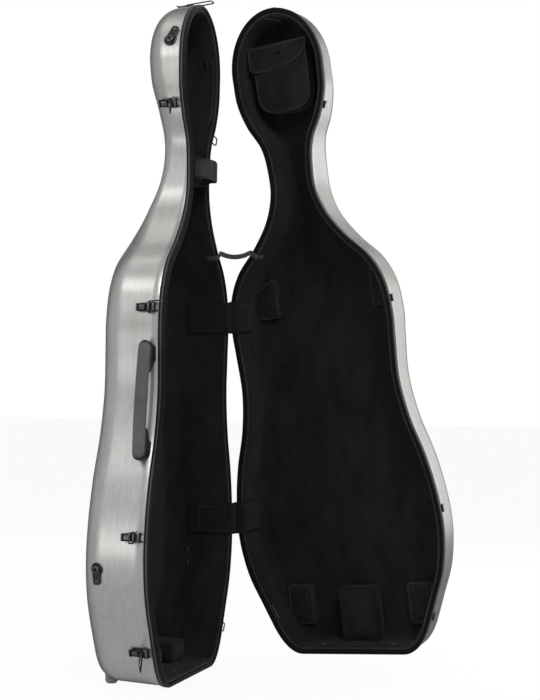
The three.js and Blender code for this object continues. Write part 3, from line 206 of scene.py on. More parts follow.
def outline_point(side, height):
    """Place and outward direction on the outline at a height; side 0 is the top."""
    if side == 0:
        return np.array([0, CASE_HEIGHT]), np.array([0, 1.0])
    z = half[2 * FINE :, 1]
    k = int(np.searchsorted(z, height)) - 1 + 2 * FINE
    share = (height - half[k][1]) / (half[k + 1][1] - half[k][1])
    point = half[k] * (1 - share) + half[k + 1] * share
    out = -(inward[k] * (1 - share) + inward[k + 1] * share)
    out /= np.linalg.norm(out)
    return point * (side, 1), out * (side, 1)


def half_width(height):
    return outline_point(1, height)[0][0]


def section(shape, height, room=math.inf):
    """Depth, corner rounding, crown and straight depth of a shell's section at a height."""
    z = min(max(height, SPINE_LOW), SPINE_HIGH)
    depth = shape.depth * float(np.interp(z / CASE_HEIGHT, shape.table[:, 0], shape.table[:, 1]))
    rounding = min(shape.rounding, room * ROUNDING_WIDTH_SHARE)
    return depth, rounding, shape.crown * half_width(z) / BOUT_HALF_WIDTH, depth - rounding


def wall_inset(shrink, depth):
    return BAND_LIP + SEAT_GAP + shrink + SIDE_DRAFT * depth


def surface_rings(shape, shrink, front):
    """Rings of one surface, from its front edge down the side, round the corner and over the crowned back."""
    rows = np.array([section(shape, outline[i][1], reach[i]) for i in range(COUNT)])
    depth, rounding, crown, straight = rows.T
    sign = shape.sign
    rings = []
    for share in (0, 0.33, 0.67):
        y = front + (straight - front) * share
        rings.append(ring(wall_inset(shrink, y), sign * y))
    radius = rounding - shrink
    start = wall_inset(shrink, straight)
    full = math.pi / 2 - np.arctan(2 * crown / (reach - start - radius))
    for share in np.linspace(0, 1, ROUND_STEPS + 1):
        edge_inset = start + radius * (1 - np.cos(full * share))
        edge_depth = straight + radius * np.sin(full * share)
        rings.append(ring(edge_inset, sign * edge_depth))
    rise = depth - shrink + crown - edge_depth
    for share in np.linspace(0, 1, CROWN_STEPS + 1)[1:]:
        inset = edge_inset + (reach - edge_inset) * share
        rings.append(ring(inset, sign * (edge_depth + rise * (1 - (1 - share) ** 2))))
    return rings


def facet_point(side, height):
    """Place and outward direction on the solids' outline, whose corners are every FINE-th point of this one."""
    if side == 0:
        return outline_point(side, height)
    corners = half[2 * FINE :: FINE]
    k = int(np.searchsorted(corners[:, 1], height)) - 1
    low, high = corners[k : k + 2]
    share = (height - low[1]) / (high[1] - low[1])
    along_x, along_z = (high - low) / np.linalg.norm(high - low)
    return (low * (1 - share) + high * share) * (side, 1), np.array([along_z, -along_x]) * (side, 1)


def side_frame(shape, side, height, depth):
    """Frame on the shell's outer facet: u along the outline, v away from the parting plane, h outwards.

    It is the solids' own frame, so levers and tabs stand true to the axes they turn about.
    """
    point, out = facet_point(side, height)
    _, rounding, _, straight = section(shape, height)
    turn = math.asin(min(max((depth - straight) / rounding, 0), 1))
    inset = wall_inset(0, min(depth, straight)) + rounding * (1 - math.cos(turn))
    lean = max(turn, math.atan(SIDE_DRAFT))
    outward = Vector((out[0], 0, out[1]))
    deeper = Vector((0, shape.sign, 0))
    h = outward * math.cos(lean) + deeper * math.sin(lean)
    v = deeper * math.cos(lean) - outward * math.sin(lean)
    origin = Vector((point[0], shape.sign * depth, point[1])) - outward * inset
    return frame_matrix(v.cross(h), v, h, origin)


def frame_matrix(u, v, h, origin):
    columns = Matrix((u, v, h)).transposed().to_4x4()
    return Matrix.Translation(origin) @ columns


# Meshes. Points are in millimetres, in the frame of the shell that carries them.

def new_object(name, data):
    piece = bpy.data.objects.new(name, data)
    bpy.context.scene.collection.objects.link(piece)
    return piece


def new_mesh(name, points, faces):
    mesh = bpy.data.meshes.new(name)
    mesh.from_pydata([Vector(p) * MM for p in points], [], [tuple(int(i) for i in f) for f in faces])
    return mesh


def evaluated(piece):
    """The object with its modifiers."""
    bpy.context.view_layer.update()
    return piece.evaluated_get(bpy.context.evaluated_depsgraph_get())


def add_piece(name, points, faces, look, shape, smooth=True, body=None, stands_for=(), slot=None):
    """A mesh in a shell's own frame, placed as the frame has that shell and riding on its body."""
    mesh = new_mesh(name, points, faces)
    bm = bmesh.new()
    bm.from_mesh(mesh)
    bmesh.ops.remove_doubles(bm, verts=bm.verts, dist=1e-6)
    bmesh.ops.recalc_face_normals(bm, faces=bm.faces)
    bm.to_mesh(mesh)
    bm.free()
    mesh.polygons.foreach_set("use_smooth", [smooth] * len(mesh.polygons))
    piece = new_object(name, mesh)
    place = shape.place.copy()
    place.translation *= MM
    mesh.transform(place)
    mesh.materials.append(look)
    if body != "":
        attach(piece, body or shape.name)
    if stands_for:
        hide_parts(*stands_for)
    return piece


def lace(rings, wrapped=False):
    """Quads between neighbouring closed rings."""
    count = len(rings[0])
    faces = []
    for r in range(len(rings) if wrapped else len(rings) - 1):
        here, there = r * count, (r + 1) % len(rings) * count
        faces += [(here + i, here + (i + 1) % count, there + (i + 1) % count, there + i) for i in range(count)]
    return faces


def skinned(rings, wrapped=False, caps=False):
    """Points and faces of rings laced together, with a face on the first and the last where caps is set."""
    size, faces = len(rings[0]), lace(rings, wrapped)
    if caps:
        faces += [tuple(range(size)), tuple(range((len(rings) - 1) * size, len(rings) * size))]
    return [tuple(p) for r in rings for p in r], faces


def grid_faces(rows, columns):
    """Quads between neighbouring points of open rows."""
    corners = [r * columns + c for r in range(rows - 1) for c in range(columns - 1)]
    return [(a, a + 1, a + columns + 1, a + columns) for a in corners]


def filleted(corners, radius, steps=3, closed=True):
    """A polygon whose corners are rounded, as far as its sides allow."""
    corners = [np.array(c, float) for c in corners]
    count = len(corners)
    out = []
    for i, corner in enumerate(corners):
        if not closed and i in (0, count - 1):
            out.append(corner)
            continue
        before, after = corners[i - 1], corners[(i + 1) % count]
        cut = min(radius, np.linalg.norm(before - corner) * 0.45, np.linalg.norm(after - corner) * 0.45)
        a = corner + (before - corner) / np.linalg.norm(before - corner) * cut
        b = corner + (after - corner) / np.linalg.norm(after - corner) * cut
        for t in np.linspace(0, 1, steps + 1):
            out.append(a * (1 - t) ** 2 + corner * 2 * t * (1 - t) + b * t**2)
    return out


def ways(path, closed):
    """The direction of a path at each of its points."""
    count = len(path)
    found = []
    for i in range(count):
        before = path[i - 1] if closed or i else path[0]
        after = path[(i + 1) % count] if closed or i < count - 1 else path[-1]
        found.append((after - before).normalized())
    return found


def sweep(path, sect, ups, closed=False):
    """A closed section carried along a path; ups is one direction, or one for each point."""
    path = [Vector(p) for p in path]
    rings = []
    for i, (point, forward) in enumerate(zip(path, ways(path, closed))):
        up = Vector(ups[i] if isinstance(ups, list) else ups)
        wide = (up - forward * up.dot(forward)).normalized()
        thick = forward.cross(wide)
        rings.append([point + wide * a + thick * b for a, b in sect])
    return skinned(rings, closed, not closed)


def circle(radius, sides=10):
    turns = [2 * math.pi * (i + 0.5) / sides for i in range(sides)]
    return [(radius * math.cos(t), radius * math.sin(t)) for t in turns]


def tube(path, radius, sides=8, closed=False):
    """A round tube along a path, turned by parallel transport."""
    path = [Vector(p) for p in path]
    ups = []
    for way in ways(path, closed):
        up = (ups[-1] - way * ups[-1].dot(way)).normalized() if ups else way.orthogonal().normalized()
        ups.append(up)
    return sweep(path, circle(radius, sides), ups, closed)


def merged(*parts):
    """Several lists of points and faces as one."""
    points, faces = [], []
    for part_points, part_faces in parts:
        start = len(points)
        points += [tuple(p) for p in part_points]
        faces += [tuple(i + start for i in f) for f in part_faces]
    return points, faces


def moved(part, matrix):
    points, faces = part
    return [tuple(matrix @ Vector(p)) for p in points], faces


# Looks. Each is a node material in the piece's own coordinates, in metres.

def new_look(name, **fixed):
    look = bpy.data.materials.new(name)
    look.use_nodes = True
    return dress(look, **fixed)


def dress(look, **sockets):
    """Values or other nodes' sockets on the look's shader."""
    for name, value in sockets.items():
        connect(look, value, look.node_tree.nodes["Principled BSDF"].inputs[name.replace("_", " ")])
    return look


def add_node(look, kind, settings=(), **inputs):
    """A node whose inputs are numbers, colours or other nodes' sockets."""
    node = look.node_tree.nodes.new("ShaderNode" + kind)
    for setting, value in dict(settings).items():
        setattr(node, setting, value)
    for name, value in inputs.items():
        socket = node.inputs[int(name[1:])] if name[0] == "i" and name[1:].isdigit() else node.inputs[name]
        connect(look, value, socket)
    return node


def srgb(*levels):
    """A colour from its levels of 255."""
    return (*[((v / 255 + 0.055) / 1.055) ** 2.4 if v > 10 else v / 255 / 12.92 for v in levels], 1)


def connect(look, value, socket):
    if isinstance(value, bpy.types.NodeSocket):
        look.node_tree.links.new(value, socket)
    else:
        socket.default_value = value


def stretched(look, stretch=(1, 1, 1), turn=None):
    """Coordinates stretched along the axes, first turned back with the lid where turn is given."""
    vector = add_node(look, "TexCoord").outputs["Object"]
    if turn:
        vector = add_node(look, "Mapping", {"vector_type": "POINT"}, Vector=vector, Rotation=turn).outputs["Vector"]
    return add_node(look, "Mapping", Vector=vector, Scale=stretch).outputs["Vector"]


LID_TURN_BACK = TURN_OPEN.inverted().to_euler()


def noise(look, vector, scale, detail=2.0, roughness=0.5):
    return add_node(look, "TexNoise", Vector=vector, Scale=scale, Detail=detail, Roughness=roughness).outputs["Fac"]


def waves(look, vector, scale, direction, distortion):
    return add_node(look, "TexWave", {"bands_direction": direction}, Vector=vector, Scale=scale,
                    Distortion=distortion).outputs["Fac"]


def ramp(look, fac, stops):
    node = add_node(look, "ValToRGB", Fac=fac)
    elements = node.color_ramp.elements
    for k, (place, colour) in enumerate(stops):
        element = elements[k] if k < 2 else elements.new(place)
        element.position = place
        element.color = srgb(*colour)
    return node.outputs["Color"]


def sums(look, kind, a, b):
    return add_node(look, "Math", {"operation": kind}, i0=a, i1=b).outputs["Value"]


def weighed(look, *pairs):
    """The sum of values, each times its weight."""
    first, *others = [sums(look, "MULTIPLY", value, weight) for value, weight in pairs]
    for product in others:
        first = sums(look, "ADD", first, product)
    return first


def mapped(look, value, low=0.0, high=1.0, start=0.0, end=1.0):
    """A value between start and end brought between low and high."""
    return add_node(look, "MapRange", Value=value, i1=start, i2=end, i3=low, i4=high).outputs["Result"]


def mixed(look, fac, a, b):
    return add_node(look, "Mix", {"data_type": "RGBA"}, i0=fac, i6=a, i7=b).outputs[2]


def bumped(look, height, strength, distance, under=None):
    inputs = {"Height": height, "Strength": strength, "Distance": distance}
    if under:
        inputs["Normal"] = under
    return add_node(look, "Bump", **inputs).outputs["Normal"]


def brushed_silver(name, dark, mid, light, turn=None):
    """Metal film with fine strokes along the case and broad soft tones."""
    look = new_look(name, Metallic=0.78, IOR=1.3, Specular_Tint=(0.05, 0.05, 0.05, 1))
    fine = noise(look, stretched(look, (1, 1, 0.01), turn), 900, 2, 0.6)
    broad = noise(look, stretched(look, (1, 1, 0.02), turn), 150, 3, 0.6)
    soft = noise(look, stretched(look, (1, 1, 0.1), turn), 9, 2)
    tone = weighed(look, (fine, 0.4), (broad, 0.35), (soft, 0.25))
    colour = ramp(look, tone, [(0.34, dark), (0.5, mid), (0.66, light)])
    return dress(look, Base_Color=colour, Roughness=mapped(look, broad, 0.29, 0.37),
                 Normal=bumped(look, fine, 0.05, 0.0002))


def lining_cloth(name, dark, light, weave=1500, strength=0.5):
    """Brushed nylon over foam: a fine cross weave with soft lighter streaks."""
    look = new_look(name, Roughness=0.95, Sheen_Weight=0.05, Sheen_Roughness=0.5, Specular_IOR_Level=0.1)
    place = stretched(look)
    threads = sums(look, "MULTIPLY", *[waves(look, place, weave / 6, direction, 0.4) for direction in "XZ"])
    streaks = noise(look, stretched(look, (1, 1, 0.45)), 22, 5, 0.65)
    lint = noise(look, place, 700, 2)
    colour = ramp(look, weighed(look, (streaks, 0.75), (lint, 0.25)), [(0.35, dark), (0.7, light)])
    normal = bumped(look, threads, strength, 0.0006, bumped(look, streaks, 0.3, 0.004))
    return dress(look, Base_Color=colour, Normal=normal)


def mesh_fabric(name, dark, light):
    """Spacer mesh: rows of small holes."""
    look = new_look(name, Roughness=0.85, Sheen_Weight=0.08, Sheen_Roughness=0.4, Specular_IOR_Level=0.2)
    cells = add_node(look, "TexVoronoi", {"feature": "F1"}, Vector=stretched(look, (1, 0.4, 1)), Scale=230,
                     Randomness=0.25)
    holes = mapped(look, cells.outputs["Distance"], start=0.15, end=0.45)
    colour = mixed(look, holes, srgb(*dark), srgb(*light))
    return dress(look, Base_Color=colour, Normal=bumped(look, holes, 0.9, 0.0012))


def webbing_look(name, dark, light, scale=330):
    """Woven tape with slanting ribs."""
    look = new_look(name, Roughness=0.8, Sheen_Weight=0.12, Sheen_Roughness=0.4, Specular_IOR_Level=0.25)
    ribs = waves(look, stretched(look), scale, "DIAGONAL", 0.3)
    speckle = noise(look, stretched(look), 900, 2)
    colour = ramp(look, weighed(look, (ribs, 0.6), (speckle, 0.4)), [(0.2, dark), (0.8, light)])
    return dress(look, Base_Color=colour, Normal=bumped(look, ribs, 0.6, 0.0006))


def rubber_look(name, dark, light, roughness=0.55, grain=600, gloss=0.4):
    """Moulded rubber or plastic: a fine grain and soft patches."""
    look = new_look(name, Specular_IOR_Level=gloss)
    place = stretched(look)
    fine = noise(look, place, grain, 3)
    broad = noise(look, place, 18, 3)
    colour = ramp(look, weighed(look, (fine, 0.4), (broad, 0.6)), [(0.35, dark), (0.65, light)])
    return dress(look, Base_Color=colour, Roughness=mapped(look, broad, roughness - 0.08, roughness + 0.1),
                 Normal=bumped(look, fine, 0.15, 0.0004))


def black_nickel(name, dark, light, worn_and_glint):
    """Plated steel: nearly black, lighter on its sharp edges, partly from plating wear and partly as a painted
    highlight.
    """
    look = new_look(name, Metallic=0.9, Specular_Tint=(0.35, 0.35, 0.35, 1))
    place = stretched(look)
    broad = noise(look, place, 60, 3)
    fine = noise(look, place, 1200, 2)
    edges = add_node(look, "NewGeometry").outputs["Pointiness"]
    # Sharp edges get a lighter colour: partly plating wear, partly a painted highlight.
    rubbed_and_glint = sums(look, "MULTIPLY", mapped(look, edges, start=0.52, end=0.6), 0.6)
    colour = mixed(look, rubbed_and_glint, ramp(look, broad, [(0.3, dark), (0.7, light)]), srgb(*worn_and_glint))
    return dress(look, Base_Color=colour, Roughness=mapped(look, broad, 0.2, 0.38),
                 Normal=bumped(look, fine, 0.05, 0.0002))


FILM_TONES = ((140, 138, 135), (150, 149, 147), (160, 160, 160))
silver = brushed_silver("silver_film", *FILM_TONES)
pale_silver = brushed_silver("pale_silver_film", *FILM_TONES, LID_TURN_BACK)
cloth = lining_cloth("lining_cloth", (16, 16, 18), (32, 33, 35))
binding = lining_cloth("binding_cloth", (34, 35, 38), (54, 55, 59), 900, 0.3)
spacer = mesh_fabric("spacer_mesh", (34, 35, 38), (12, 12, 13))
webbing = webbing_look("dark_webbing", (38, 39, 42), (74, 75, 79))
black_webbing = webbing_look("black_webbing", (18, 18, 19), (38, 38, 40))
band_rubber = rubber_look("band_rubber", (6, 6, 7), (14, 14, 15), 0.6, gloss=0.12)
grip_rubber = rubber_look("grip_rubber", (56, 57, 60), (78, 79, 82), 0.62)
foot_rubber = rubber_look("foot_rubber", (96, 96, 98), (124, 124, 126), 0.7)
plastic = rubber_look("black_plastic", (9, 9, 10), (20, 20, 21), 0.45, 900, 0.2)
# The edge colours of both metals are partly wear and partly a painted highlight.
nickel = black_nickel("black_nickel", (12, 11, 11), (32, 30, 30), (140, 138, 138))
steel = black_nickel("bright_steel", (150, 150, 150), (196, 196, 196), (230, 230, 230))
block_cloth = lining_cloth("block_cloth", (15, 15, 16), (33, 33, 35), 1300, 0.5)
cover_cloth = lining_cloth("cover_cloth", (13, 13, 14), (29, 29, 31), 1500, 0.5)
bag_cloth = lining_cloth("bag_cloth", (16, 16, 18), (36, 36, 39), 2100, 0.4)
patch_cloth = lining_cloth("patch_cloth", (36, 37, 39), (64, 65, 68), 800, 0.8)
tab_cloth = webbing_look("tab_cloth", (62, 62, 64), (96, 96, 98), 900)
pile_cloth = lining_cloth("pile_cloth", (14, 14, 15), (46, 46, 48), 500, 1.0)
thread = webbing_look("sewing_thread", (52, 53, 56), (88, 89, 93), 900)
# The bead's light grey is a painted highlight along the black rubber lip of each rim band.
bead_painted_highlight = rubber_look("bead_painted_highlight", (50, 50, 53), (66, 66, 69), 0.5, gloss=0.2)


# Shells: film-covered outside, bare inside, their front edges hidden in the bands

LINING_ROUND = 4.0
BAND_ROUND = 0.9
BEAD_ROUND = 1.4
BEAD = [(0.8, 5.8), (0, 5.8), (0, 9.4), (0.8, 9.4)]


def shell(shape, look):
    outer, inner = (surface_rings(shape, shrink, shape.front) for shrink in (0, SHELL_WALL))
    add_piece(f"{shape.name}_shell_skin", *skinned(inner[::-1] + outer), look, shape,
              stands_for=[f"{shape.name}_shell"], slot="shell")


def foam(shape, look):
    """Lining: a soft rounded front edge, then the inner face."""
    name, sign, front = shape.name, shape.sign, shape.front
    inset = wall_inset(LINING_INSIDE, front)
    rings = [ring(wall_inset(LINING_OUTSIDE, front), sign * front)]
    for turn in np.linspace(0, math.pi / 2, 6):
        depth = front + LINING_ROUND * (1 - math.cos(turn))
        rings.append(ring(inset - LINING_ROUND * (1 - math.sin(turn)), sign * depth))
    rings += surface_rings(shape, LINING_INSIDE, front)[1:]
    add_piece(f"{name}_lining_cloth", *skinned(rings), look, shape, stands_for=[f"{name}_lining"], slot="lining")


def band(shape, kind, corners, radius, steps, look, stands_for=()):
    """A moulding all round a shell's edge, from the corners of its section as insets and depths."""
    rings = [ring(inset, shape.sign * depth) for inset, depth in filleted(corners, radius, steps)]
    add_piece(f"{shape.name}_band_{kind}", *skinned(rings, True), look, shape, stands_for=stands_for, slot="band")


FACE = PARTING_GAP / 2
LIP_SINK = 0.5


def band_section(near, far, step, web):
    """A rim band's section, with a tongue or a groove in its face from near to far."""
    return [
        (0, FACE), (near, FACE), (near, FACE + step), (far, FACE + step), (far, FACE), (BAND_FACE, FACE),
        (BAND_FACE, FACE + web), (BAND_LIP, FACE + web), (BAND_LIP, BAND_DEPTH), (LIP_SINK, BAND_DEPTH),
        (LIP_SINK, 5), (0, 4.2),
    ]


BASE_SECTION = band_section(3, 4.8, -1.5, BASE_WEB)
LID_SECTION = band_section(2.5, 5.3, 2.5, BASE_WEB + GROOVE_FLOOR)
shell(BASE, silver)
shell(LID, pale_silver)
for shape in (BASE, LID):
    foam(shape, cloth)
for shape, corners in ((BASE, BASE_SECTION), (LID, LID_SECTION)):
    band(shape, "moulding", corners, BAND_ROUND, 3, band_rubber, [f"{shape.name}_rim_band"])
# Each band gets a thin bead on its lip, coloured light grey as a painted highlight.
for shape in (BASE, LID):
    band(shape, "bead", BEAD, BEAD_ROUND, 4, bead_painted_highlight)


# Hardware. Frames on the case: u along the outline, v away from the parting plane, h outwards.

def shift(u, v, h):
    return Matrix.Translation((u, v, h))


def lathe(profile, sides=40):
    """A body turned about h from radii and heights."""
    turns = [2 * math.pi * i / sides for i in range(sides)]
    rings = [[(r * math.cos(t), r * math.sin(t), h) for t in turns] for r, h in profile]
    return skinned(rings)


def across(profile, half, soft=0.5):
    """A profile of v and h pushed both ways along u, its ends drawn in a little."""
    middle = np.mean(np.array(profile, float), axis=0)
    rings = []
    for u, shrunk in ((-half, soft), (-half + soft, 0), (half - soft, 0), (half, soft)):
        ring_here = []
        for point in profile:
            away = middle - point
            place = np.array(point) + away / max(np.linalg.norm(away), 1e-6) * shrunk
            ring_here.append((u, *place))
        rings.append(ring_here)
    return skinned(rings, caps=True)


def arc(radius, start, end, steps, middle=(0, 0)):
    turns = np.radians(np.linspace(start, end, steps + 1))
    return [(middle[0] + radius * math.cos(t), middle[1] + radius * math.sin(t)) for t in turns]


def rivets(places, height, radius=1.9, rise=0.9):
    profile = [(radius, -0.6), (radius, 0.15), (radius * 0.92, rise * 0.45), (radius * 0.62, rise * 0.85), (0, rise)]
    return merged(*[moved(lathe(profile, 16), shift(u, v, height)) for u, v in places])


def fit(name, part, place, stands_for="", body=None, shape=BASE, look=nickel, slot="black_metal", smooth=True):
    """A piece of hardware moved to its place on a shell. It may stand for one node of the frame."""
    add_piece(name, *moved(part, place), look, shape, smooth, body, [stands_for] if stands_for else (), slot)


def cut_plate(loops, thickness, soft):
    """A flat plate with holes, its edges eased. It lies on h = 0."""
    data = bpy.data.curves.new("plate", "CURVE")
    data.dimensions = "2D"
    data.fill_mode = "BOTH"
    data.extrude = thickness / 2 - soft
    data.bevel_depth = soft
    data.bevel_resolution = 1
    data.offset = -soft
    for loop in loops:
        line = data.splines.new("POLY")
        line.points.add(len(loop) - 1)
        for place, (x, y) in zip(line.points, loop):
            place.co = (x, y, 0, 1)
        line.use_cyclic_u = True
    holder = new_object("plate", data)
    mesh = evaluated(holder).to_mesh()
    points = [(v.co.x, v.co.y, v.co.z + thickness / 2) for v in mesh.vertices]
    faces = [tuple(f.vertices) for f in mesh.polygons]
    bpy.data.objects.remove(holder)
    bpy.data.curves.remove(data)
    return points, faces


LATCHES = [
    ("head_front", -1, 0.8403, 70), ("upper_bout_front", -1, 0.5373, 37), ("lower_bout_front", -1, 0.2179, 75),
    ("bottom_front", -1, 0.0545, 70), ("head_hinge_side", 1, 0.8269, 65), ("bottom_hinge_side", 1, 0.0612, 65),
    ("top", 0, 1.0, 4),
]
PLATE_THICKNESS = 1.4
LEVER_PIVOT = (0, 24, 5)
LEVER_HALF = 7.3
BAIL_OFFSET = 9.0
BAIL_REACH = 51.1
LEVER_PROFILE = [
    *arc(3.0, 215, 40, 8), (3.9, 1.55), (5.4, 2.1), *arc(2.7, 140, 30, 5, (9, 0.5)), (13.2, 1.35), (16, 0.75),
    (22, 0.35), (28, 0.6), (31, 1.5), (33.2, 2.7), (34.1, 2.2), (33.2, 0.2), (30.8, -1.7), (27, -2.9), (22, -3.3),
    (0.5, -3.3),
]


LEVER_CAP_OUT = 9.2
LEVER_CAP = [(0, 0.5), (1.5, 0.5), (2.2, 0.2), (2.2, -0.6), (0, -0.6)]
LEVER_PANEL = [(17, 0.2), (17, 1.0), (28.5, 1.25), (28.5, 0.2)]
BAIL_HALF = [(4.1, 0), (10.6, 0), (8.8, -BAIL_REACH), (0, -BAIL_REACH)]
PLATE_RIVETS = [(-6.4, 17.6), (6.4, 17.6)]
KEEPER_RIVETS = [(-4.4, 24.6), (4.4, 24.6)]


def dress_latch(name, side, share, tilt):
    height = share * CASE_HEIGHT
    seat, lid_seat = side_frame(BASE, side, height, 0), side_frame(LID, side, height, 0)
    pivot = seat @ shift(*LEVER_PIVOT)
    lever = across(LEVER_PROFILE, LEVER_HALF, 0.7)
    pressed = across(filleted(LEVER_PANEL, 0.5), 4.6, 0.5)
    ends = [moved(lathe(LEVER_CAP, 16), shift(s * LEVER_CAP_OUT, 0, 0) @ Matrix.Rotation(s * math.pi / 2, 4, "Y"))
            for s in (-1, 1)]
    fit(f"latch_{name}_lever", merged(lever, pressed, *ends), pivot, f"latch_lever_{name}", f"lever_{name}")
    loop = filleted(BAIL_HALF + [(-u, v) for u, v in BAIL_HALF[-2::-1]], 4.6, 5, closed=False)
    hang = shift(0, BAIL_OFFSET, 0) @ Matrix.Rotation(-math.radians(tilt), 4, "X")
    wire = tube([(u, v, 0) for u, v in loop], 1.4, 12)
    fit(f"latch_{name}_bail", wire, pivot @ hang, f"latch_bail_{name}", f"bail_{name}")
    fit(f"latch_{name}_rivets", rivets(PLATE_RIVETS, PLATE_THICKNESS), seat)
    fit(f"latch_{name}_keeper_rivets", rivets(KEEPER_RIVETS, PLATE_THICKNESS, 1.6, 0.8), lid_seat, shape=LID)


ANCHORS = [
    ("head_front", -1, 0.9336, 0.222, 160), ("bottom_front", -1, 0.1709, 0.706, 0),
    ("head_back", 1, 0.9336, 0.222, 160), ("bottom_back", 1, 0.1709, 0.706, 0),
]
TAB_LIFT = 2.9
ROSETTE = [
    (13.0, -4.0), (13.0, 1.2), (12.6, 1.8), (11.4, 2.4), (9.6, 2.6), (4.2, 2.6), (4.2, 5.2), (7.1, 5.2), (7.4, 5.6),
    (6.9, 6.4), (5.4, 7.2), (3.2, 7.55), (3.0, 7.2), (0, 7.2),
]
TAB_SIDES = filleted([(-9, 0), (-7.2, -25.4), (-5.4, -28.8), (5.4, -28.8), (7.2, -25.4), (9, 0)], 2.4, 4, closed=False)
TAB_LOOPS = [[*arc(9, 0, 180, 20), *TAB_SIDES[1:-1]], arc(4.6, 360, 15, 23), arc(3.4, 360, 15, 23, (0, -22))]


def dress_anchor(name, side, share, depth_share, turn):
    seat = side_frame(BASE, side, share * CASE_HEIGHT, depth_share * BASE.depth)
    fit(f"anchor_{name}_rosette", lathe(ROSETTE, 48), seat, f"anchor_rosette_{name}")
    down = seat.to_3x3().inverted() @ Vector((0, 0, -1))
    hang = math.atan2(down.x, -down.y) - side * math.radians(turn)
    place = seat @ shift(0, 0, TAB_LIFT) @ Matrix.Rotation(hang, 4, "Z")
    fit(f"anchor_{name}_tab", cut_plate(TAB_LOOPS, 2.0, 0.3), place, f"anchor_tab_{name}", f"tab_{name}", smooth=False)


HANDLE_HALF = 110.0
GRIP_HALF_WIDTH = 11.75
GRIP_HALF_THICKNESS = 8.0
GRIP_STANDOFF = 18.0
GRIP_BOW = 5.0
BRACKET_RIM = 2.2
GRIP_END_GAP = 1.5


HANDLE_MIDDLE = 0.4055 * CASE_HEIGHT
HANDLE_DEPTH = 0.2026 * BASE.depth


def handle_seat():
    ends = [outline_point(-1, HANDLE_MIDDLE + end * HANDLE_HALF)[0] for end in (-1, 1)]
    low, high = (Vector((p[0], 0, p[1])) for p in ends)
    u = (high - low).normalized()
    v = Vector((0, 1, 0))
    middle = (low + high) / 2
    return frame_matrix(u, v, u.cross(v), Vector((middle.x, HANDLE_DEPTH, middle.z)))


def grip_section(wide, thick):
    """Between a rectangle and an ellipse, with a fine groove near each edge of its outer face."""
    points = []
    for a, b in circle(1, 56):
        x, y = (math.copysign(abs(c) ** 0.62, c) for c in (a, b))
        groove = 0.45 * math.exp(-(((abs(x) - 0.86) / 0.05) ** 2)) if y > 0.55 else 0
        points.append((wide * x, thick * y - groove))
    return points


GRIP_FULL = HANDLE_HALF - GRIP_END_GAP
GRIP_END_STEPS = [0, 0.03, 0.07, 0.13, 0.2, 0.3, 0.42, 0.56, 0.72, 0.86, 1.0]


def dress_grip(seat):
    rings = []
    ends = [1 - g * GRIP_HALF_WIDTH / GRIP_FULL for g in GRIP_END_STEPS]
    upper = [*ends, *np.linspace(ends[-1], 0, 22)[1:]]
    for place in [*[-p for p in upper], *upper[-2::-1]]:
        gap = min((1 - abs(place)) * GRIP_FULL / GRIP_HALF_WIDTH, 1)
        wide = GRIP_HALF_WIDTH * (0.36 + 0.64 * math.sin(gap * math.pi / 2) ** 0.6)
        thick = GRIP_HALF_THICKNESS * (0.45 + 0.55 * math.sin(min(gap * 1.7, 1) * math.pi / 2) ** 0.6)
        lift = GRIP_STANDOFF + GRIP_BOW * (1 - place * place)
        rings.append([(place * GRIP_FULL, a, b + lift) for a, b in grip_section(wide, thick)])
    fit("handle_grip_moulding", skinned(rings, caps=True), seat, "handle_grip", look=grip_rubber, slot="rubber")


CUP_END = 7
CUP_TOE = 37
CUP_SINK = -12.0
CUP_GAPS = [0.05, 0.4, 1, 1.8, 2.8, 4, 5.5, 7, 9, 11, 14, 20, 28, 36, 39, 42, 45, 48, 51, 54, 56.5, 58.5, 59.7]


def dress_bracket(seat, end, name):
    """A moulded cup round the grip's end, which runs out in a low toe under the grip."""
    half_cup = GRIP_HALF_WIDTH + BRACKET_RIM
    toe = np.linspace(0, 1, 24)
    toe_gap = 60 * (1 - toe) ** 2 + 2 * toe * (1 - toe) * 51 + toe**2 * CUP_TOE
    toe_rise = GRIP_STANDOFF * (1 - toe) ** 2
    rings = []
    for gap in CUP_GAPS:
        wide = math.sqrt(half_cup**2 - max(half_cup - gap, 0) ** 2)
        low = CUP_SINK
        if gap < CUP_END:
            low = GRIP_STANDOFF * (1 - math.sqrt(gap / CUP_END)) ** 2
        elif gap >= CUP_TOE:
            low = float(np.interp(gap, toe_gap[::-1], toe_rise[::-1])) - 0.4
        top = GRIP_STANDOFF + 4.5 * max(0.25, 1 - gap / 22) - 1.2 * max(0, (gap - 50) / 10)
        corners = [(-wide, top), (wide, top), (wide * 0.94, low), (-wide * 0.94, low)]
        along_grip = end * (HANDLE_HALF + BRACKET_RIM - gap)
        rings.append([(along_grip, a, b) for a, b in filleted(corners, min(5.0, (top - low) * 0.4), 5)])
    fit(f"handle_cup_{name}", skinned(rings, caps=True), seat, f"handle_bracket_{name}",
        look=plastic, slot="black_plastic")


FOOT_PROFILE = [
    (0, 0), (5.5, 0), (7.6, 0.25), (9.4, 1.1), (10.9, 2.6), (11.8, 4.6), (12.3, 6.8), (12.5, 9.0), (12.5, 11.0),
    (11.9, 11.5), (11.9, 12.2), (12.5, 12.7), (12.5, 33.5), (0, 33.5),
]


FOOT_INSET = 32
FOOT_OUT = 119


def dress_foot(x, name):
    place = shift(x, BASE.depth - FOOT_INSET, 0)
    fit(f"{name}_stud", lathe(FOOT_PROFILE, 48), place, name, look=foot_rubber, slot="rubber")


HINGES = [("upper", 0.8011, 0.5396), ("lower", 1.032, 0.2216)]
HINGE_RIVETS = [(-21, 24), (0, 24), (21, 24)]


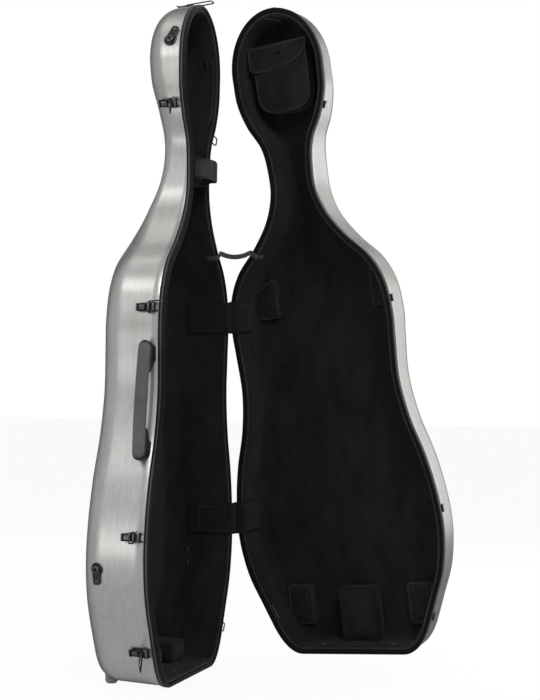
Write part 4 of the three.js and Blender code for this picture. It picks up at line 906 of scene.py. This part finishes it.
def dress_hinge(name, width_share, height_share):
    place = Vector((width_share * BOUT_HALF_WIDTH, 0, height_share * CASE_HEIGHT))
    out = Vector((HINGE_AXIS.z, 0, -HINGE_AXIS.x))
    for shape in (BASE, LID):
        v = Vector((0, shape.sign, 0))
        fit(f"hinge_{shape.name}_rivets_{name}", rivets(HINGE_RIVETS, -1.5, 2.2, 1.0),
            frame_matrix(v.cross(out), v, out, place), shape=shape)


for latch in LATCHES:
    dress_latch(*latch)
for anchor in ANCHORS:
    dress_anchor(*anchor)
for hinge in HINGES:
    dress_hinge(*hinge)
grip_seat = handle_seat()
dress_grip(grip_seat)
dress_bracket(grip_seat, 1, "upper")
dress_bracket(grip_seat, -1, "lower")
dress_foot(-FOOT_OUT, "foot_front_side")
dress_foot(FOOT_OUT, "foot_hinge_side")


# Soft pieces

class Skin:
    """The inner face of a lining, to lay things on."""

    def __init__(self, shape):
        self.shape = shape
        rings = surface_rings(shape, LINING_INSIDE, shape.front)
        self.tree = BVHTree.FromPolygons([tuple(p) for p in np.vstack(rings)], lace(rings))

    def nearest(self, x, depth, z):
        """The nearest point and the direction off the foam."""
        place, normal, *_ = self.tree.find_nearest(Vector((x, self.shape.sign * depth, z)))
        middle = Vector((0, 0, min(max(z, SPINE_LOW), SPINE_HIGH)))
        return place, normal if normal.dot(middle - place) > 0 else -normal


DEEPEST = 5.0


def kept_in(form, skin):
    """A form whose points lie no deeper than DEEPEST under the lining's inner face."""
    points = []
    for x, y, z in form[0]:
        place, normal = skin.nearest(x, skin.shape.sign * y, z)
        under = (place - Vector((x, y, z))).dot(normal)
        points.append(tuple(place - normal * DEEPEST) if under > DEEPEST else (x, y, z))
    return points, form[1]


CLOTH_FRAMES = 20


def swollen(forms):
    """Cloth round soft foam: each closed form is remeshed, smoothed and blown up a little.

    A form is its points, its faces, a test for the points that stay where they are, how far the others may move
    and the size of the remesh's cells.
    """
    made = []
    for points, faces, fixed, cap, voxel in forms:
        piece = new_object("swollen", new_mesh("swollen", points, faces))
        remesh = piece.modifiers.new("remesh", "REMESH")
        remesh.mode = "VOXEL"
        remesh.voxel_size = voxel * MM
        piece.modifiers.new("smooth", "SMOOTH").iterations = 4
        apply_modifiers(piece)
        rest = np.array([v.co for v in piece.data.vertices])
        held = piece.vertex_groups.new(name="held")
        held.add([i for i, p in enumerate(rest) if fixed(*(p / MM))], 1.0, "REPLACE")
        made.append((piece, rest, cap))
        cloth_mod = piece.modifiers.new("cloth", "CLOTH")
        cloth_mod.settings.quality = 5
        cloth_mod.settings.use_pressure = True
        cloth_mod.settings.uniform_pressure_force = 4
        cloth_mod.settings.effector_weights.gravity = 0
        cloth_mod.settings.vertex_group_mass = "held"
        cloth_mod.point_cache.frame_start = 1
        cloth_mod.point_cache.frame_end = CLOTH_FRAMES
    scene = bpy.context.scene
    for number in range(1, CLOTH_FRAMES + 1):
        scene.frame_set(number)
    results = []
    for piece, rest, cap in made:
        mesh = evaluated(piece).to_mesh()
        moves = np.array([v.co for v in mesh.vertices]) - rest
        length = np.linalg.norm(moves, axis=1)[:, None]
        places = rest + moves * np.minimum(1, cap * MM / np.maximum(length, 1e-9))
        results.append((places / MM, [tuple(f.vertices) for f in mesh.polygons]))
    for piece, *_ in made:
        bpy.data.objects.remove(piece)
    scene.frame_set(1)
    return results


def apply_modifiers(piece):
    mesh = bpy.data.meshes.new_from_object(evaluated(piece))
    piece.modifiers.clear()
    plain, piece.data = piece.data, mesh
    bpy.data.meshes.remove(plain)


def soft_piece(name, form, look, shape, stands_for=(), body=None, wall=0):
    """A padded piece, or a cloth one where there is no fill, divided once more."""
    piece = add_piece(name, *form, look, shape, body="", stands_for=stands_for, slot="lining")
    if wall:
        cloth_wall = piece.modifiers.new("wall", "SOLIDIFY")
        cloth_wall.thickness = wall * MM
        cloth_wall.offset = -1
    division = piece.modifiers.new("subdivision", "SUBSURF")
    division.levels = division.render_levels = 1
    apply_modifiers(piece)
    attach(piece, body or shape.name)


def laid_on(form, path, lift):
    """Points of a path brought onto a form's surface, with the direction off it."""
    points, faces = form
    tree = BVHTree.FromPolygons([tuple(p) for p in points], faces)
    middle = Vector(np.mean(np.array(points), axis=0))
    out = []
    for point in path:
        place, normal, *_ = tree.find_nearest(Vector(point))
        if normal.dot(place - middle) < 0:
            normal = -normal
        out.append((place + normal * lift, normal))
    return out


def evened(path, step, closed=True):
    """The same path with points a step apart."""
    p = np.array([tuple(q) for q in path] + ([tuple(path[0])] if closed else []))
    length = np.concatenate([[0], np.cumsum(np.linalg.norm(np.diff(p, axis=0), axis=1))])
    count = max(int(round(length[-1] / step)), 4)
    places = np.linspace(0, length[-1], count + 1)
    even = np.stack([np.interp(places, length, p[:, k]) for k in range(3)], axis=1)
    return even[:-1] if closed else even


def piping(path, radius, closed=True):
    return tube(evened(path, 4.0, closed), radius, 7, closed)


STITCH_STEP = 2.8
FINE_STITCH_STEP = 2.7
THREAD_LENGTH = 2.6
THREAD_RADIUS = 0.42
GRAIN = [(-0.5, 0.35, -0.2), (-0.22, 1.0, 0.5), (0.22, 1.0, 0.5), (0.5, 0.35, -0.2)]


def stitches(path, normals):
    """A row of thread grains along a path, every other one under the cloth."""
    grains = []
    for k in range(0, len(path) - 1, 2):
        a, b, normal = Vector(path[k]), Vector(path[k + 1]), Vector(normals[k])
        along_it = (b - a).normalized()
        wide = normal.cross(along_it)
        rings = []
        for share, size, rise in GRAIN:
            middle = (a + b) / 2 + along_it * THREAD_LENGTH * share + normal * THREAD_RADIUS * rise
            rings.append([middle + wide * c * size + normal * d * size for c, d in circle(THREAD_RADIUS, 5)])
        grains.append(skinned(rings, caps=True))
    return merged(*grains)


def even_stitches(path, normal=(0, 1, 0), closed=True):
    """A row of stitches whose thread lies on cloth that faces one way."""
    line = evened(path, STITCH_STEP, closed)
    return stitches(line, [normal] * len(line))


def stitched_path(form, path):
    rows = laid_on(form, evened(path, FINE_STITCH_STEP), 0.1)
    return stitches([r[0] for r in rows], [r[1] for r in rows])


def add_trim(name, parts, look, shape, body=None):
    return add_piece(name, *merged(*parts), look, shape, body=body, slot="lining")


# Pads on the lid's lining, its end block and the base's two end cushions

PAD_EDGE = 4.5
PAD_CROWN = 3.0


def pad_loop(pad, inset, y, sides=64):
    """One loop of a padded form: square with round corners, its sides drawn in, its outer corner lower."""
    loop = []
    for c, d in circle(1, sides):
        drawn = 1 - 0.03 * (1 - abs(2 * c * d))
        a, b = (drawn * math.copysign(abs(v) ** 0.2, v) for v in (c, d))
        fall = 0
        if pad.shoulder:
            fall = abs(pad.shoulder) * ((1 + a * math.copysign(1, pad.shoulder)) / 2) ** 2 * (1 + b) / 2
        x, z = a * (pad.half_width - inset), b * (pad.half_height - inset) - fall
        loop.append((pad.x + x, pad.shape.sign * y, pad.z + z))
    return loop


def pad_form(pad, shrink):
    levels = [
        (shrink + 1, pad.back), (shrink, pad.front + PAD_EDGE), (shrink + PAD_EDGE * 0.3, pad.front + 2.6),
        (shrink + PAD_EDGE, pad.front + 0.4), (pad.half_width * 0.5, pad.front - PAD_CROWN * 0.6),
    ]
    return skinned([pad_loop(pad, inset, y) for inset, y in levels], caps=True)


Pad = namedtuple("Pad", "shape x z half_width half_height front back shoulder")


LID_PAD_OUT = 143.0
LID_PAD_HALVES = (35.0, 46.5)
LID_PAD_RISE = 11
LID_PAD_DEEP = 22


def lid_pad(side, share, shoulder):
    height = share * CASE_HEIGHT
    front = section(LID, height)[0] - LINING_INSIDE - LID_PAD_RISE
    return Pad(LID, side * LID_PAD_OUT, height, *LID_PAD_HALVES, front, front + LID_PAD_DEEP, side * shoulder)


PADS = {
    "lid_pad_upper_front": lid_pad(-1, 0.5608, 34), "lid_pad_upper_hinge": lid_pad(1, 0.5608, 34),
    "lid_pad_lower_front": lid_pad(-1, 0.0683, 0), "lid_pad_lower_hinge": lid_pad(1, 0.0683, 0),
    "lid_end_block": Pad(LID, 0.0, 72.0, 47.0, 62.0, 43.0, 84.0, 0),
    "base_cushion_front": Pad(BASE, -63.0, 37.0, 41.0, 25.0, 52.0, 150.0, 0),
    "base_cushion_hinge": Pad(BASE, 63.0, 37.0, 41.0, 25.0, 52.0, 150.0, 0),
}
CRADLE_MIDDLE = 0.7505 * CASE_HEIGHT
CRADLE_HALF = 29
CRADLE_FRONT = -18
CRADLE_CHAMFER = (16, 13)
CRADLE_BACK = 7.5


def cradle_form():
    """Foam block under the neck: two prongs with chamfered faces and a back."""
    depth = section(BASE, CRADLE_MIDDLE)[0] - LINING_INSIDE + 4
    low, high = CRADLE_MIDDLE - CRADLE_HALF, CRADLE_MIDDLE + CRADLE_HALF
    chamfer_start, chamfer_height = CRADLE_FRONT + CRADLE_CHAMFER[0], CRADLE_CHAMFER[1]
    side = [(depth, low), (chamfer_start, low), (CRADLE_FRONT, low + chamfer_height),
            (CRADLE_FRONT, high - chamfer_height), (chamfer_start, high), (depth, high)]
    back = [(depth, low), (CRADLE_BACK, low), (CRADLE_BACK, high), (depth, high)]
    parts = [(side, -30, -18), (side, 18, 30), (back, -29, 29)]
    return merged(*[skinned([[(x, y, z) for y, z in edge] for x in ends], caps=True) for edge, *ends in parts])


forms = [(*pad_form(pad, 2.5), lambda x, y, z, p=pad: abs(y) > p.back - 6, 5.0, 5.0) for pad in PADS.values()]
forms.append((*cradle_form(), lambda x, y, z: y > 20, 2.0, 4.0))
*pad_results, cradle_result = swollen(forms)
SKINS = {shape.name: Skin(shape) for shape in (BASE, LID)}
cradle_result = kept_in(cradle_result, SKINS["base"])
for (name, pad), form in zip(PADS.items(), pad_results):
    shape = pad.shape
    form = kept_in(form, SKINS[shape.name])
    mesh_pad = name.startswith("lid_pad")
    look, trim, sewing, cord = (spacer, binding, thread, 1.5) if mesh_pad else (block_cloth, block_cloth, binding, 1.1)
    soft_piece(name, form, look, shape)
    edge = [r[0] for r in laid_on(form, pad_loop(pad, 1.6, pad.front + 0.6, 96), 0.3)]
    add_trim(f"{name}_piping", [piping(edge, cord)], trim, shape)
    add_trim(f"{name}_stitches", [stitched_path(form, pad_loop(pad, 8.5, pad.front, 96))], sewing, shape)


# Neck cradle and its strap

soft_piece("neck_cradle_foam", cradle_result, block_cloth, BASE, stands_for=["neck_cradle"])
cradle_edges = []
for s in (-1, 1):
    corners = [(19.5, -15), (28.5, -15), (28.5, 15), (19.5, 15)]
    cradle_edges.append(stitched_path(cradle_result, [(s * x, -16.5, CRADLE_MIDDLE + z) for x, z in corners]))
add_trim("neck_cradle_stitches", cradle_edges, thread, BASE)


def flat_section(wide, thick, soft=0.6):
    corners = [(wide, thick), (-wide, thick), (-wide, -thick), (wide, -thick)]
    return filleted(corners, min(soft, thick * 0.9), 3)


def neck_strap():
    """The strap round the cradle, its patch on the left prong and its pile in front."""
    rest, side = -20.6, 32.2
    right = [
        (side * 0.5, rest - 4.9), (side * 0.86, rest - 1.6), (side - 0.7, rest + 0.9), (side, rest + 5), (side, 0.0),
        (side, 6.5),
    ]
    path = [*[(-x, y) for x, y in right[::-1]], (0, rest - 7), *right]
    route = smooth_path([(x, y, CRADLE_MIDDLE) for x, y in path], 6)
    flat_route = np.array(route)[:, :2]
    way = np.gradient(flat_route, axis=0)
    outwards = np.stack([way[:, 1], -way[:, 0]], axis=1) / np.linalg.norm(way, axis=1)[:, None]

    def raised(keep, lift, z=CRADLE_MIDDLE):
        return [(*(p + n * lift), z) for p, n in zip(flat_route, outwards) if keep(*p)]

    def on_side(x, y):
        return x < -6 and y < 3

    def on_front(x, y):
        return x > -4 and y < -6

    for name, line, wide, thick, look, node in (
        ("webbing", route, 20, 1.1, black_webbing, ["neck_strap"]),
        ("patch", raised(on_side, 1.45), 15.5, 0.45, patch_cloth, []),
        ("pile", raised(on_front, 1.5), 18, 0.6, pile_cloth, []),
    ):
        strap = sweep(line, flat_section(wide, thick), (0, 0, 1))
        add_piece(f"neck_strap_{name}", *strap, look, BASE, stands_for=node, slot="webbing")
    rows = []
    for s in (-1, 1):
        line = evened(raised(on_side, 1.95, CRADLE_MIDDLE + s * 14), FINE_STITCH_STEP, False)
        rows.append(stitches(line, [(-0.7, -0.7, 0)] * len(line)))
    add_trim("neck_strap_stitches", rows, thread, BASE)


neck_strap()


# Accessory pocket and its flap

POCKET_X = 6.0
POCKET_HALF = 66.0
POCKET_TOP = 0.8944 * CASE_HEIGHT + 67.5
POCKET_TALL = 135.0
POCKET_FRONT = 30.0


def bezier(points, steps):
    p = np.array(points, float)
    return [(1 - t) ** 3 * p[0] + 3 * t * (1 - t) ** 2 * p[1] + 3 * t * t * (1 - t) * p[2] + t**3 * p[3]
            for t in np.linspace(0, 1, steps + 1)]


def pocket_side(shrink):
    """From the mouth's left end round the bottom to its right end, in x and z."""
    half_here = POCKET_HALF - shrink
    bottom = POCKET_TOP - POCKET_TALL + shrink
    low = bottom + half_here * 0.55
    left = [np.array([-half_here, POCKET_TOP]) * (1 - t) + np.array([-half_here * 0.94, low]) * t
            for t in np.linspace(0, 1, 9)[:-1]]
    corner = [(-half_here * 0.94, low), (-half_here * 0.9, bottom), (-half_here * 0.4, bottom), (0, bottom)]
    both = [*left, *bezier(corner, 14)]
    return both + [p * (-1, 1) for p in both[-2::-1]]


def bag_wave(x, z):
    """Slack cloth: long low folds that run down and inwards."""
    return 1.3 * math.sin(x * 0.075 + z * 0.03) + 0.8 * math.sin(z * 0.09 - x * 0.05)


def bag_line(inset, depth, wave=0.0):
    return [(x + POCKET_X, -(depth - wave * bag_wave(x, z)), z) for x, z in pocket_side(inset)]


BAG_SIDES = [
    (0, 62, 0), (-0.6, 50, 0.1), (0, POCKET_FRONT + 7, 0.15), (0.9, POCKET_FRONT + 3.4, 0.2),
    (3.4, POCKET_FRONT + 0.9, 0.3), (7, POCKET_FRONT, 0.4),
]
BAG_FOLD = POCKET_TOP - 38


def pocket_bag():
    """The bag from the lining up its sides and over its front, and the trims on it."""
    skin = SKINS["lid"]
    rows = [[]]
    for x, _, z in bag_line(0, 0):
        wall, _ = skin.nearest(x, 70, z)
        rows[0].append((x, -min(max(abs(wall.y) + 1, 66), 92), z))
    rows += [bag_line(*values) for values in BAG_SIDES]
    for share in (0.25, 0.5, 0.75, 1.0):
        row = []
        for x, z in pocket_side(7):
            height = z + (BAG_FOLD - z) * share * (0.55 if z < BAG_FOLD else 0)
            swell = 3.2 * math.sin(share * math.pi / 2) * (1 - (z - POCKET_TOP) / POCKET_TALL * 0.2)
            low_x = x * (1 - share)
            row.append((low_x + POCKET_X, -(POCKET_FRONT - swell - 0.8 * bag_wave(low_x, height)), height))
        rows.append(row)
    form = [p for r in rows for p in r], grid_faces(len(rows), len(rows[0]))
    soft_piece("pocket_bag", form, bag_cloth, LID, ["pocket"], wall=2.0)
    add_trim("pocket_piping", [piping(bag_line(1.6, POCKET_FRONT + 1.6, 0.5), 1.6, False)], binding, LID)
    add_trim("pocket_stitches", [even_stitches(bag_line(6.0, POCKET_FRONT - 0.5, 0.6), closed=False)], thread, LID)
    add_trim("pocket_gusset_seam", [piping(bag_line(-1.0, 48.0), 0.7, False)], binding, LID)


pocket_bag()

FLAP_RISE, FLAP_DROP = 6.0, 51.0


def flap_loop(shrink):
    half_here = POCKET_HALF + 4.0
    curve = bezier([(-half_here, 0), (-half_here, -FLAP_DROP * 0.75), (-half_here * 0.35, -FLAP_DROP),
                    (half_here * 0.5, -FLAP_DROP)], 24)
    rest = filleted([(half_here * 0.5, -FLAP_DROP), (half_here * 0.88, -FLAP_DROP * 0.98),
                     (half_here, -FLAP_DROP * 0.86), (half_here, 0)], 5, 4, closed=False)
    loop = [*curve, *rest[1:]]
    flat = evened([(p[0], 0, p[1]) for p in loop], 4.0, True)
    middle = np.array([6.0, 0, -22.0])
    away = flat - middle
    size = np.linalg.norm(away, axis=1)[:, None]
    return flat - away / size * np.minimum(shrink, size)


FLAP_LEVELS = [
    (1.5, -3.9), (0.3, -3.4), (0, -2.2), (0.3, -1.0), (1.8, -0.3), (6, 0.3), (14, 0.9), (24, 1.3), (60, 1.5),
]


def pocket_flap():
    def level(shrink, y):
        place = Vector((POCKET_X, y - POCKET_FRONT + 4.3, POCKET_TOP + FLAP_RISE))
        return [tuple(Vector(p) + place) for p in flap_loop(shrink)]

    points, faces = skinned([level(*values) for values in FLAP_LEVELS])
    faces.append(tuple(range(len(flap_loop(0)))))
    soft_piece("pocket_flap_cloth", (points, faces), bag_cloth, LID, ["pocket_flap"], body="flap")
    add_trim("pocket_flap_piping", [piping(level(0.5, -0.7), 1.5)], binding, LID, body="flap")
    add_trim("pocket_flap_stitches", [even_stitches(level(5.5, 0.25))], thread, LID, body="flap")


pocket_flap()


# Padded covers over the hinges and the stay strap, laid from the base's wall round to the lid's.

def inner_point(shape, height, inset, depth):
    """A point on the hinge side's wall, in the base's frame."""
    point, out = outline_point(1, height)
    flat = point - out * inset
    place = Vector((flat[0], shape.sign * depth, flat[1]))
    if shape is LID:
        place = RIM_PLACE.inverted() @ LID_PLACE @ place
    return place


def bent(piece, start, end):
    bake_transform(piece)


COVER_THICKNESS = 4.5
COVER_TALL = 68.0
COVER_ROWS = 25
COVER_BASE_REACH = 95.0
COVER_LID_REACH = 56.0


def cover_grid(middle):
    """Rows of points up a cover's middle surface, each from the base's wall to the lid's."""
    half_thick = COVER_THICKNESS / 2
    wall = wall_inset(LINING_INSIDE, 0) + 0.5 + half_thick
    front = 0.5 + COVER_THICKNESS

    def route(shape, height, deep):
        places = [
            (wall + SIDE_DRAFT * deep, deep), (wall + SIDE_DRAFT * deep * 0.5, deep * 0.5), (wall, BASE_WEB),
            (wall - half_thick, -front * 0.6), (BAND_FACE, -front - half_thick / 2), (3.0, -front - half_thick),
        ]
        return [inner_point(shape, height, *place) for place in places]

    base_reach = min(COVER_BASE_REACH, section(BASE, middle + COVER_TALL / 2)[3])
    rows = []
    for k in range(COVER_ROWS):
        height = middle + COVER_TALL * (k / (COVER_ROWS - 1) - 0.5)
        rows.append(smooth_path(route(BASE, height, base_reach) + route(LID, height, COVER_LID_REACH)[::-1], 5))
    return np.array(rows)


def hinge_cover(name, height_share):
    middle = height_share * CASE_HEIGHT
    grid = cover_grid(middle)
    normal = np.cross(np.gradient(grid, axis=0), np.gradient(grid, axis=1))
    normal /= np.linalg.norm(normal, axis=2)[:, :, None]
    if np.sum(normal * (np.array([0.0, 0.0, middle]) - grid)) < 0:
        normal = -normal
    rows, columns = grid.shape[:2]

    def border(axis, wide):
        """From 0 on two opposite edges to 1 at a share of the whole, wide, away from them."""
        share = np.expand_dims(np.linspace(0, 1, grid.shape[axis]), 1 - axis)
        return np.clip(np.minimum(share, 1 - share) / wide, 0, 1)

    soft = np.sqrt(border(0, 0.09)) * np.sqrt(border(1, 0.03))
    seam = 1 - 0.55 * np.exp(-(((border(0, 1) - 0.12) / 0.022) ** 2))
    crown = 0.35 + 0.65 * smooth_step(border(0, 0.3)) * smooth_step(border(1, 0.1))
    half_thick = COVER_THICKNESS / 2
    outer = grid + normal * (half_thick * (0.28 + 0.72 * soft * seam * crown))[:, :, None]
    inner = grid - normal * (half_thick * (0.28 + 0.6 * soft))[:, :, None]
    ids = np.arange(rows * columns).reshape(rows, columns)
    loop = [*ids[0], *ids[1:, -1], *ids[-1, -2::-1], *ids[-2:0:-1, 0]]
    faces = grid_faces(rows, columns)
    faces += [tuple(i + ids.size for i in (f[0], *f[:0:-1])) for f in faces]
    faces += [(loop[i], loop[i - 1], ids.size + loop[i - 1], ids.size + loop[i]) for i in range(len(loop))]
    ends = [inner_point(shape, middle, 5.0, -1.0) for shape in (BASE, LID)]
    cover = add_piece(f"hinge_cover_{name}_pad", [*outer.reshape(-1, 3), *inner.reshape(-1, 3)], faces, cover_cloth,
                      BASE, body="", stands_for=[f"hinge_cover_{name}"], slot="lining")
    bent(cover, *ends)
    sewing = []
    for r in (3, rows - 4):
        line = evened(outer[r, 3:-3], STITCH_STEP, False)
        way = [normal[r, min(3 + int(k * (columns - 6) / len(line)), columns - 1)] for k in range(len(line))]
        sewing.append(stitches(line, way))
    sewing += [even_stitches(outer[3:-3, c], normal[rows // 2, c], False) for c in (3, columns - 4)]
    bent(add_trim(f"hinge_cover_{name}_stitches", sewing, thread, BASE, body=""), *ends)


STAY_HEIGHT = 0.6358 * CASE_HEIGHT
STAY_SAG = 8.0


def stay_strap():
    thick, end_depth = 1.5, 22.0
    wall = wall_inset(LINING_INSIDE, 0) + thick
    front = 1.5 + 2 * thick
    route = [(wall + SIDE_DRAFT * end_depth, end_depth), (wall, BASE_WEB * 0.5), (BAND_FACE + 2 * thick, -front * 0.5),
             (4.8, -front), (0, -front)]
    base_side = [inner_point(BASE, STAY_HEIGHT, *p) for p in route]
    lid_side = [inner_point(LID, STAY_HEIGHT, *p) for p in route]
    a, b = base_side[-1], lid_side[-1]
    sagging = [a.lerp(b, s) - Vector((0, 0, 4 * STAY_SAG * s * (1 - s))) for s in (0.2, 0.4, 0.6, 0.8)]
    path = smooth_path([tuple(p) for p in [*base_side, *sagging, *lid_side[::-1]]], 4)
    out = outline_point(1, STAY_HEIGHT)[1]
    on_base = Vector((-out[1], 0, out[0]))
    on_lid = TURN_OPEN.to_3x3() @ on_base
    ups = []
    for i in range(len(path)):
        from_end = min(i, len(path) - 1 - i) / 4 / 6
        flat = on_base if i < len(path) / 2 else on_lid
        ups.append(flat.lerp(Vector((0, 0, 1)), min(1, from_end * from_end)))
    strap = sweep(path, flat_section(5, 0.75, 0.5), ups)
    piece = add_piece("lid_stay_webbing", *strap, webbing, BASE, body="", stands_for=["lid_stay_strap"],
                      slot="webbing")
    bent(piece, a, b)


for hinge_name, _, hinge_share in HINGES:
    hinge_cover(hinge_name, hinge_share)
stay_strap()


# Edging of the linings, and the seams on them

def lining_edge(shape):
    middle = ring(wall_inset(LINING_OUTSIDE, shape.front) + 5.4, shape.sign * (shape.front + 0.9))
    path = [tuple(p) for p in middle[:: FINE // 2]]
    name = shape.name
    add_piece(f"{name}_lining_edging", *tube(path, 2.5, 9, True), binding, shape, slot="lining")


def on_lining(shape, path, lift):
    """A path laid on a lining and raised a little."""
    found = [SKINS[shape.name].nearest(x, abs(y), z) for x, y, z in path]
    return [tuple(place + normal * lift) for place, normal in found]


HEAD_SEAM = [
    (72.6, 35.2, 1118.5), (78.0, 24.0, 1112.0), (74.5, 11.0, 1119.0), (80.0, 9.6, 1180.0), (86.7, 9.9, 1249.5),
]
BUTTON = [(1.0, -0.4), (0.96, 0.5), (0.8, 1.1), (0.5, 1.5), (0.22, 1.25), (0, 1.2)]
BUTTONS = [
    ((87.8, 25.5, 1242.2), 4.5, 7), ((219.3, 94.8, 225.2), 5, 7), ((215.0, 92.7, 197.9), 4.5, 6),
    ((111.3, 13.5, 834.4), 4, 5),
]
TABS = [
    (BASE, [[(-19.2, 34.9, 15.7), (-42.5, 17.8, 15.0)]]),
    (LID, [
        [(13.0, 7.2, 1324.3), (9.0, 30.0, 1323.0), (4.9, 53.4, 1319.3)], [(83.7, 24.7, 15.1), (71.6, 24.8, 15.2)],
        [(-78.5, 26.5, 15.2), (-92.2, 26.8, 15.2)], [(184.4, 8.2, 103.5), (172.1, 9.6, 74.9)],
    ]),
]


def base_seams():
    """The cord behind the scroll's room and the buttons in the base's lining."""
    path = on_lining(BASE, evened(smooth_path(HEAD_SEAM, 8), 3.0, False), 0.5)
    add_trim("base_head_seam", [tube(path, 1.1, 7)], binding, BASE)
    domes = []
    for place, wide, tall in BUTTONS:
        seat, normal = SKINS["base"].nearest(*place)
        side_way = Vector((0, 0, 1)).cross(normal).normalized()
        frame_here = frame_matrix(side_way, normal.cross(side_way), normal, seat)
        domes.append(moved(lathe(BUTTON, 24), frame_here @ Matrix.Diagonal((wide, tall, 1.2, 1))))
    add_trim("base_lining_buttons", domes, plastic, BASE)


def lining_tabs(shape, paths):
    """Short pale tabs where a lining is tacked to its band."""
    cords = [tube(on_lining(shape, evened(path, 4.0, False), 0.6), 1.2, 8) for path in paths]
    add_trim(f"{shape.name}_lining_tabs", cords, tab_cloth, shape)


lining_edge(BASE)
lining_edge(LID)
base_seams()
for tabs in TABS:
    lining_tabs(*tabs)


# The plates, keepers, hinge leaves and pins keep their solids and get a finish and soft edges

EDGE_WIDTH = 0.4
for node_name, piece in nodes.items():
    if piece.hide_render:
        continue
    piece.data.materials.clear()
    piece.data.materials.append(steel if node_name.startswith("hinge_pin") else nickel)
    edges = piece.modifiers.new("soft_edges", "BEVEL")
    edges.width = EDGE_WIDTH * MM
    edges.segments = 2
    edges.limit_method = "ANGLE"
    edges.angle_limit = math.radians(35)


# Floor, light and camera

WORLD_LEVEL = 0.32
PAPER_LEVEL = 0.93
FLOOR_HALF = 40.0
LAMPS = [
    ("key", (-2.4, -1.6, 2.8), (0, 0, 0.7), (1.2, 1.2), 60),
    ("fill", (1.2, -3.4, 1.8), (0.1, 0, 0.7), (2.0, 2.0), 30),
    ("rear", (2.8, 1.4, 2.4), (0, 0, 0.8), (1.6, 1.6), 25),
    ("upper_box", (-1.25, 0.85, 1.78), (-0.2, 0.05, 0.75), (0.8, 0.42), 5),
    ("middle_strip", (-1.5, 0.8, 1.18), (-0.2, 0.05, 0.45), (0.8, 0.22), 1.3),
    ("lower_strip", (-1.7, 0.85, 0.24), (-0.2, 0.05, 0.25), (1.0, 0.34), 4),
    ("top", (-0.3, 0.7, 2.3), (-0.15, 0.05, 0.85), (0.6, 0.5), 1.6),
    ("lid_side", (2.05, -2.0, 0.95), (0.15, -0.45, 0.75), (1.2, 1.7), 20),
    ("lid_shoulder", (2.3, -0.8, 2.1), (0.15, -0.35, 0.95), (1.8, 1.1), 19),
]


def straight_rays(owner):
    """1 for rays from the camera, off gloss and through glass, and 0 for the others."""
    rays = add_node(owner, "LightPath").outputs
    first = sums(owner, "MAXIMUM", rays["Is Camera Ray"], rays["Is Glossy Ray"])
    return sums(owner, "MAXIMUM", first, rays["Is Transmission Ray"])


def stage_floor():
    corners = [(x * FLOOR_HALF, y * FLOOR_HALF, 0) for x, y in ((-1, -1), (1, -1), (1, 1), (-1, 1))]
    mesh = bpy.data.meshes.new("floor")
    mesh.from_pydata(corners, [], [(0, 1, 2, 3)])
    floor = new_object("floor", mesh)
    floor.location.z = -0.0005
    look = new_look("floor_paper", Roughness=0.9, Base_Color=(PAPER_LEVEL, PAPER_LEVEL, PAPER_LEVEL, 1))
    share = sums(look, "MULTIPLY", straight_rays(look), PAPER_LEVEL)
    glow = add_node(look, "Emission", Color=(1, 1, 1, 1), Strength=1.0)
    tree = look.node_tree.nodes
    shader = tree["Principled BSDF"]
    both = add_node(look, "MixShader", Fac=share, i1=shader.outputs["BSDF"], i2=glow.outputs["Emission"])
    connect(look, both.outputs["Shader"], tree["Material Output"].inputs["Surface"])
    mesh.materials.append(look)


def stage_world():
    world = bpy.data.worlds.new("studio")
    bpy.context.scene.world = world
    world.use_nodes = True
    background = world.node_tree.nodes["Background"]
    connect(world, (1, 1, 1, 1), background.inputs["Color"])
    connect(world, mapped(world, straight_rays(world), WORLD_LEVEL, 1.0), background.inputs["Strength"])


def soft_lamp(name, place, target, size, watts):
    data = bpy.data.lights.new(name, "AREA")
    data.shape = "RECTANGLE"
    data.size, data.size_y = size
    data.energy = watts
    lamp = new_object(name, data)
    lamp.location = place
    lamp.rotation_euler = (Vector(target) - Vector(place)).to_track_quat("-Z", "Y").to_euler()


stage_floor()
stage_world()
for lamp_values in LAMPS:
    soft_lamp(*lamp_values)


CAMERA_PLACE = (-2.72215, -0.98054, 0.54071)
CAMERA_TURNS = (73.163, 2.155, 0.969)
LENS = 74.444


def stage_camera():
    """The photograph's viewpoint. Its turns are yaw from +Y towards +X, pitch above the horizon and roll."""
    yaw, pitch, roll = (math.radians(a) for a in CAMERA_TURNS)
    forward = Vector((math.sin(yaw) * math.cos(pitch), math.cos(yaw) * math.cos(pitch), math.sin(pitch)))
    right = Vector((math.cos(yaw), -math.sin(yaw), 0))
    up = right.cross(forward)
    data = bpy.data.cameras.new("camera")
    data.lens = LENS
    data.sensor_width = 36
    camera = new_object("camera", data)
    camera.matrix_world = frame_matrix(
        right * math.cos(roll) + up * math.sin(roll), up * math.cos(roll) - right * math.sin(roll), -forward,
        Vector(CAMERA_PLACE))
    bpy.context.scene.camera = camera


stage_camera()
bpy.context.scene.view_settings.view_transform = "Standard"
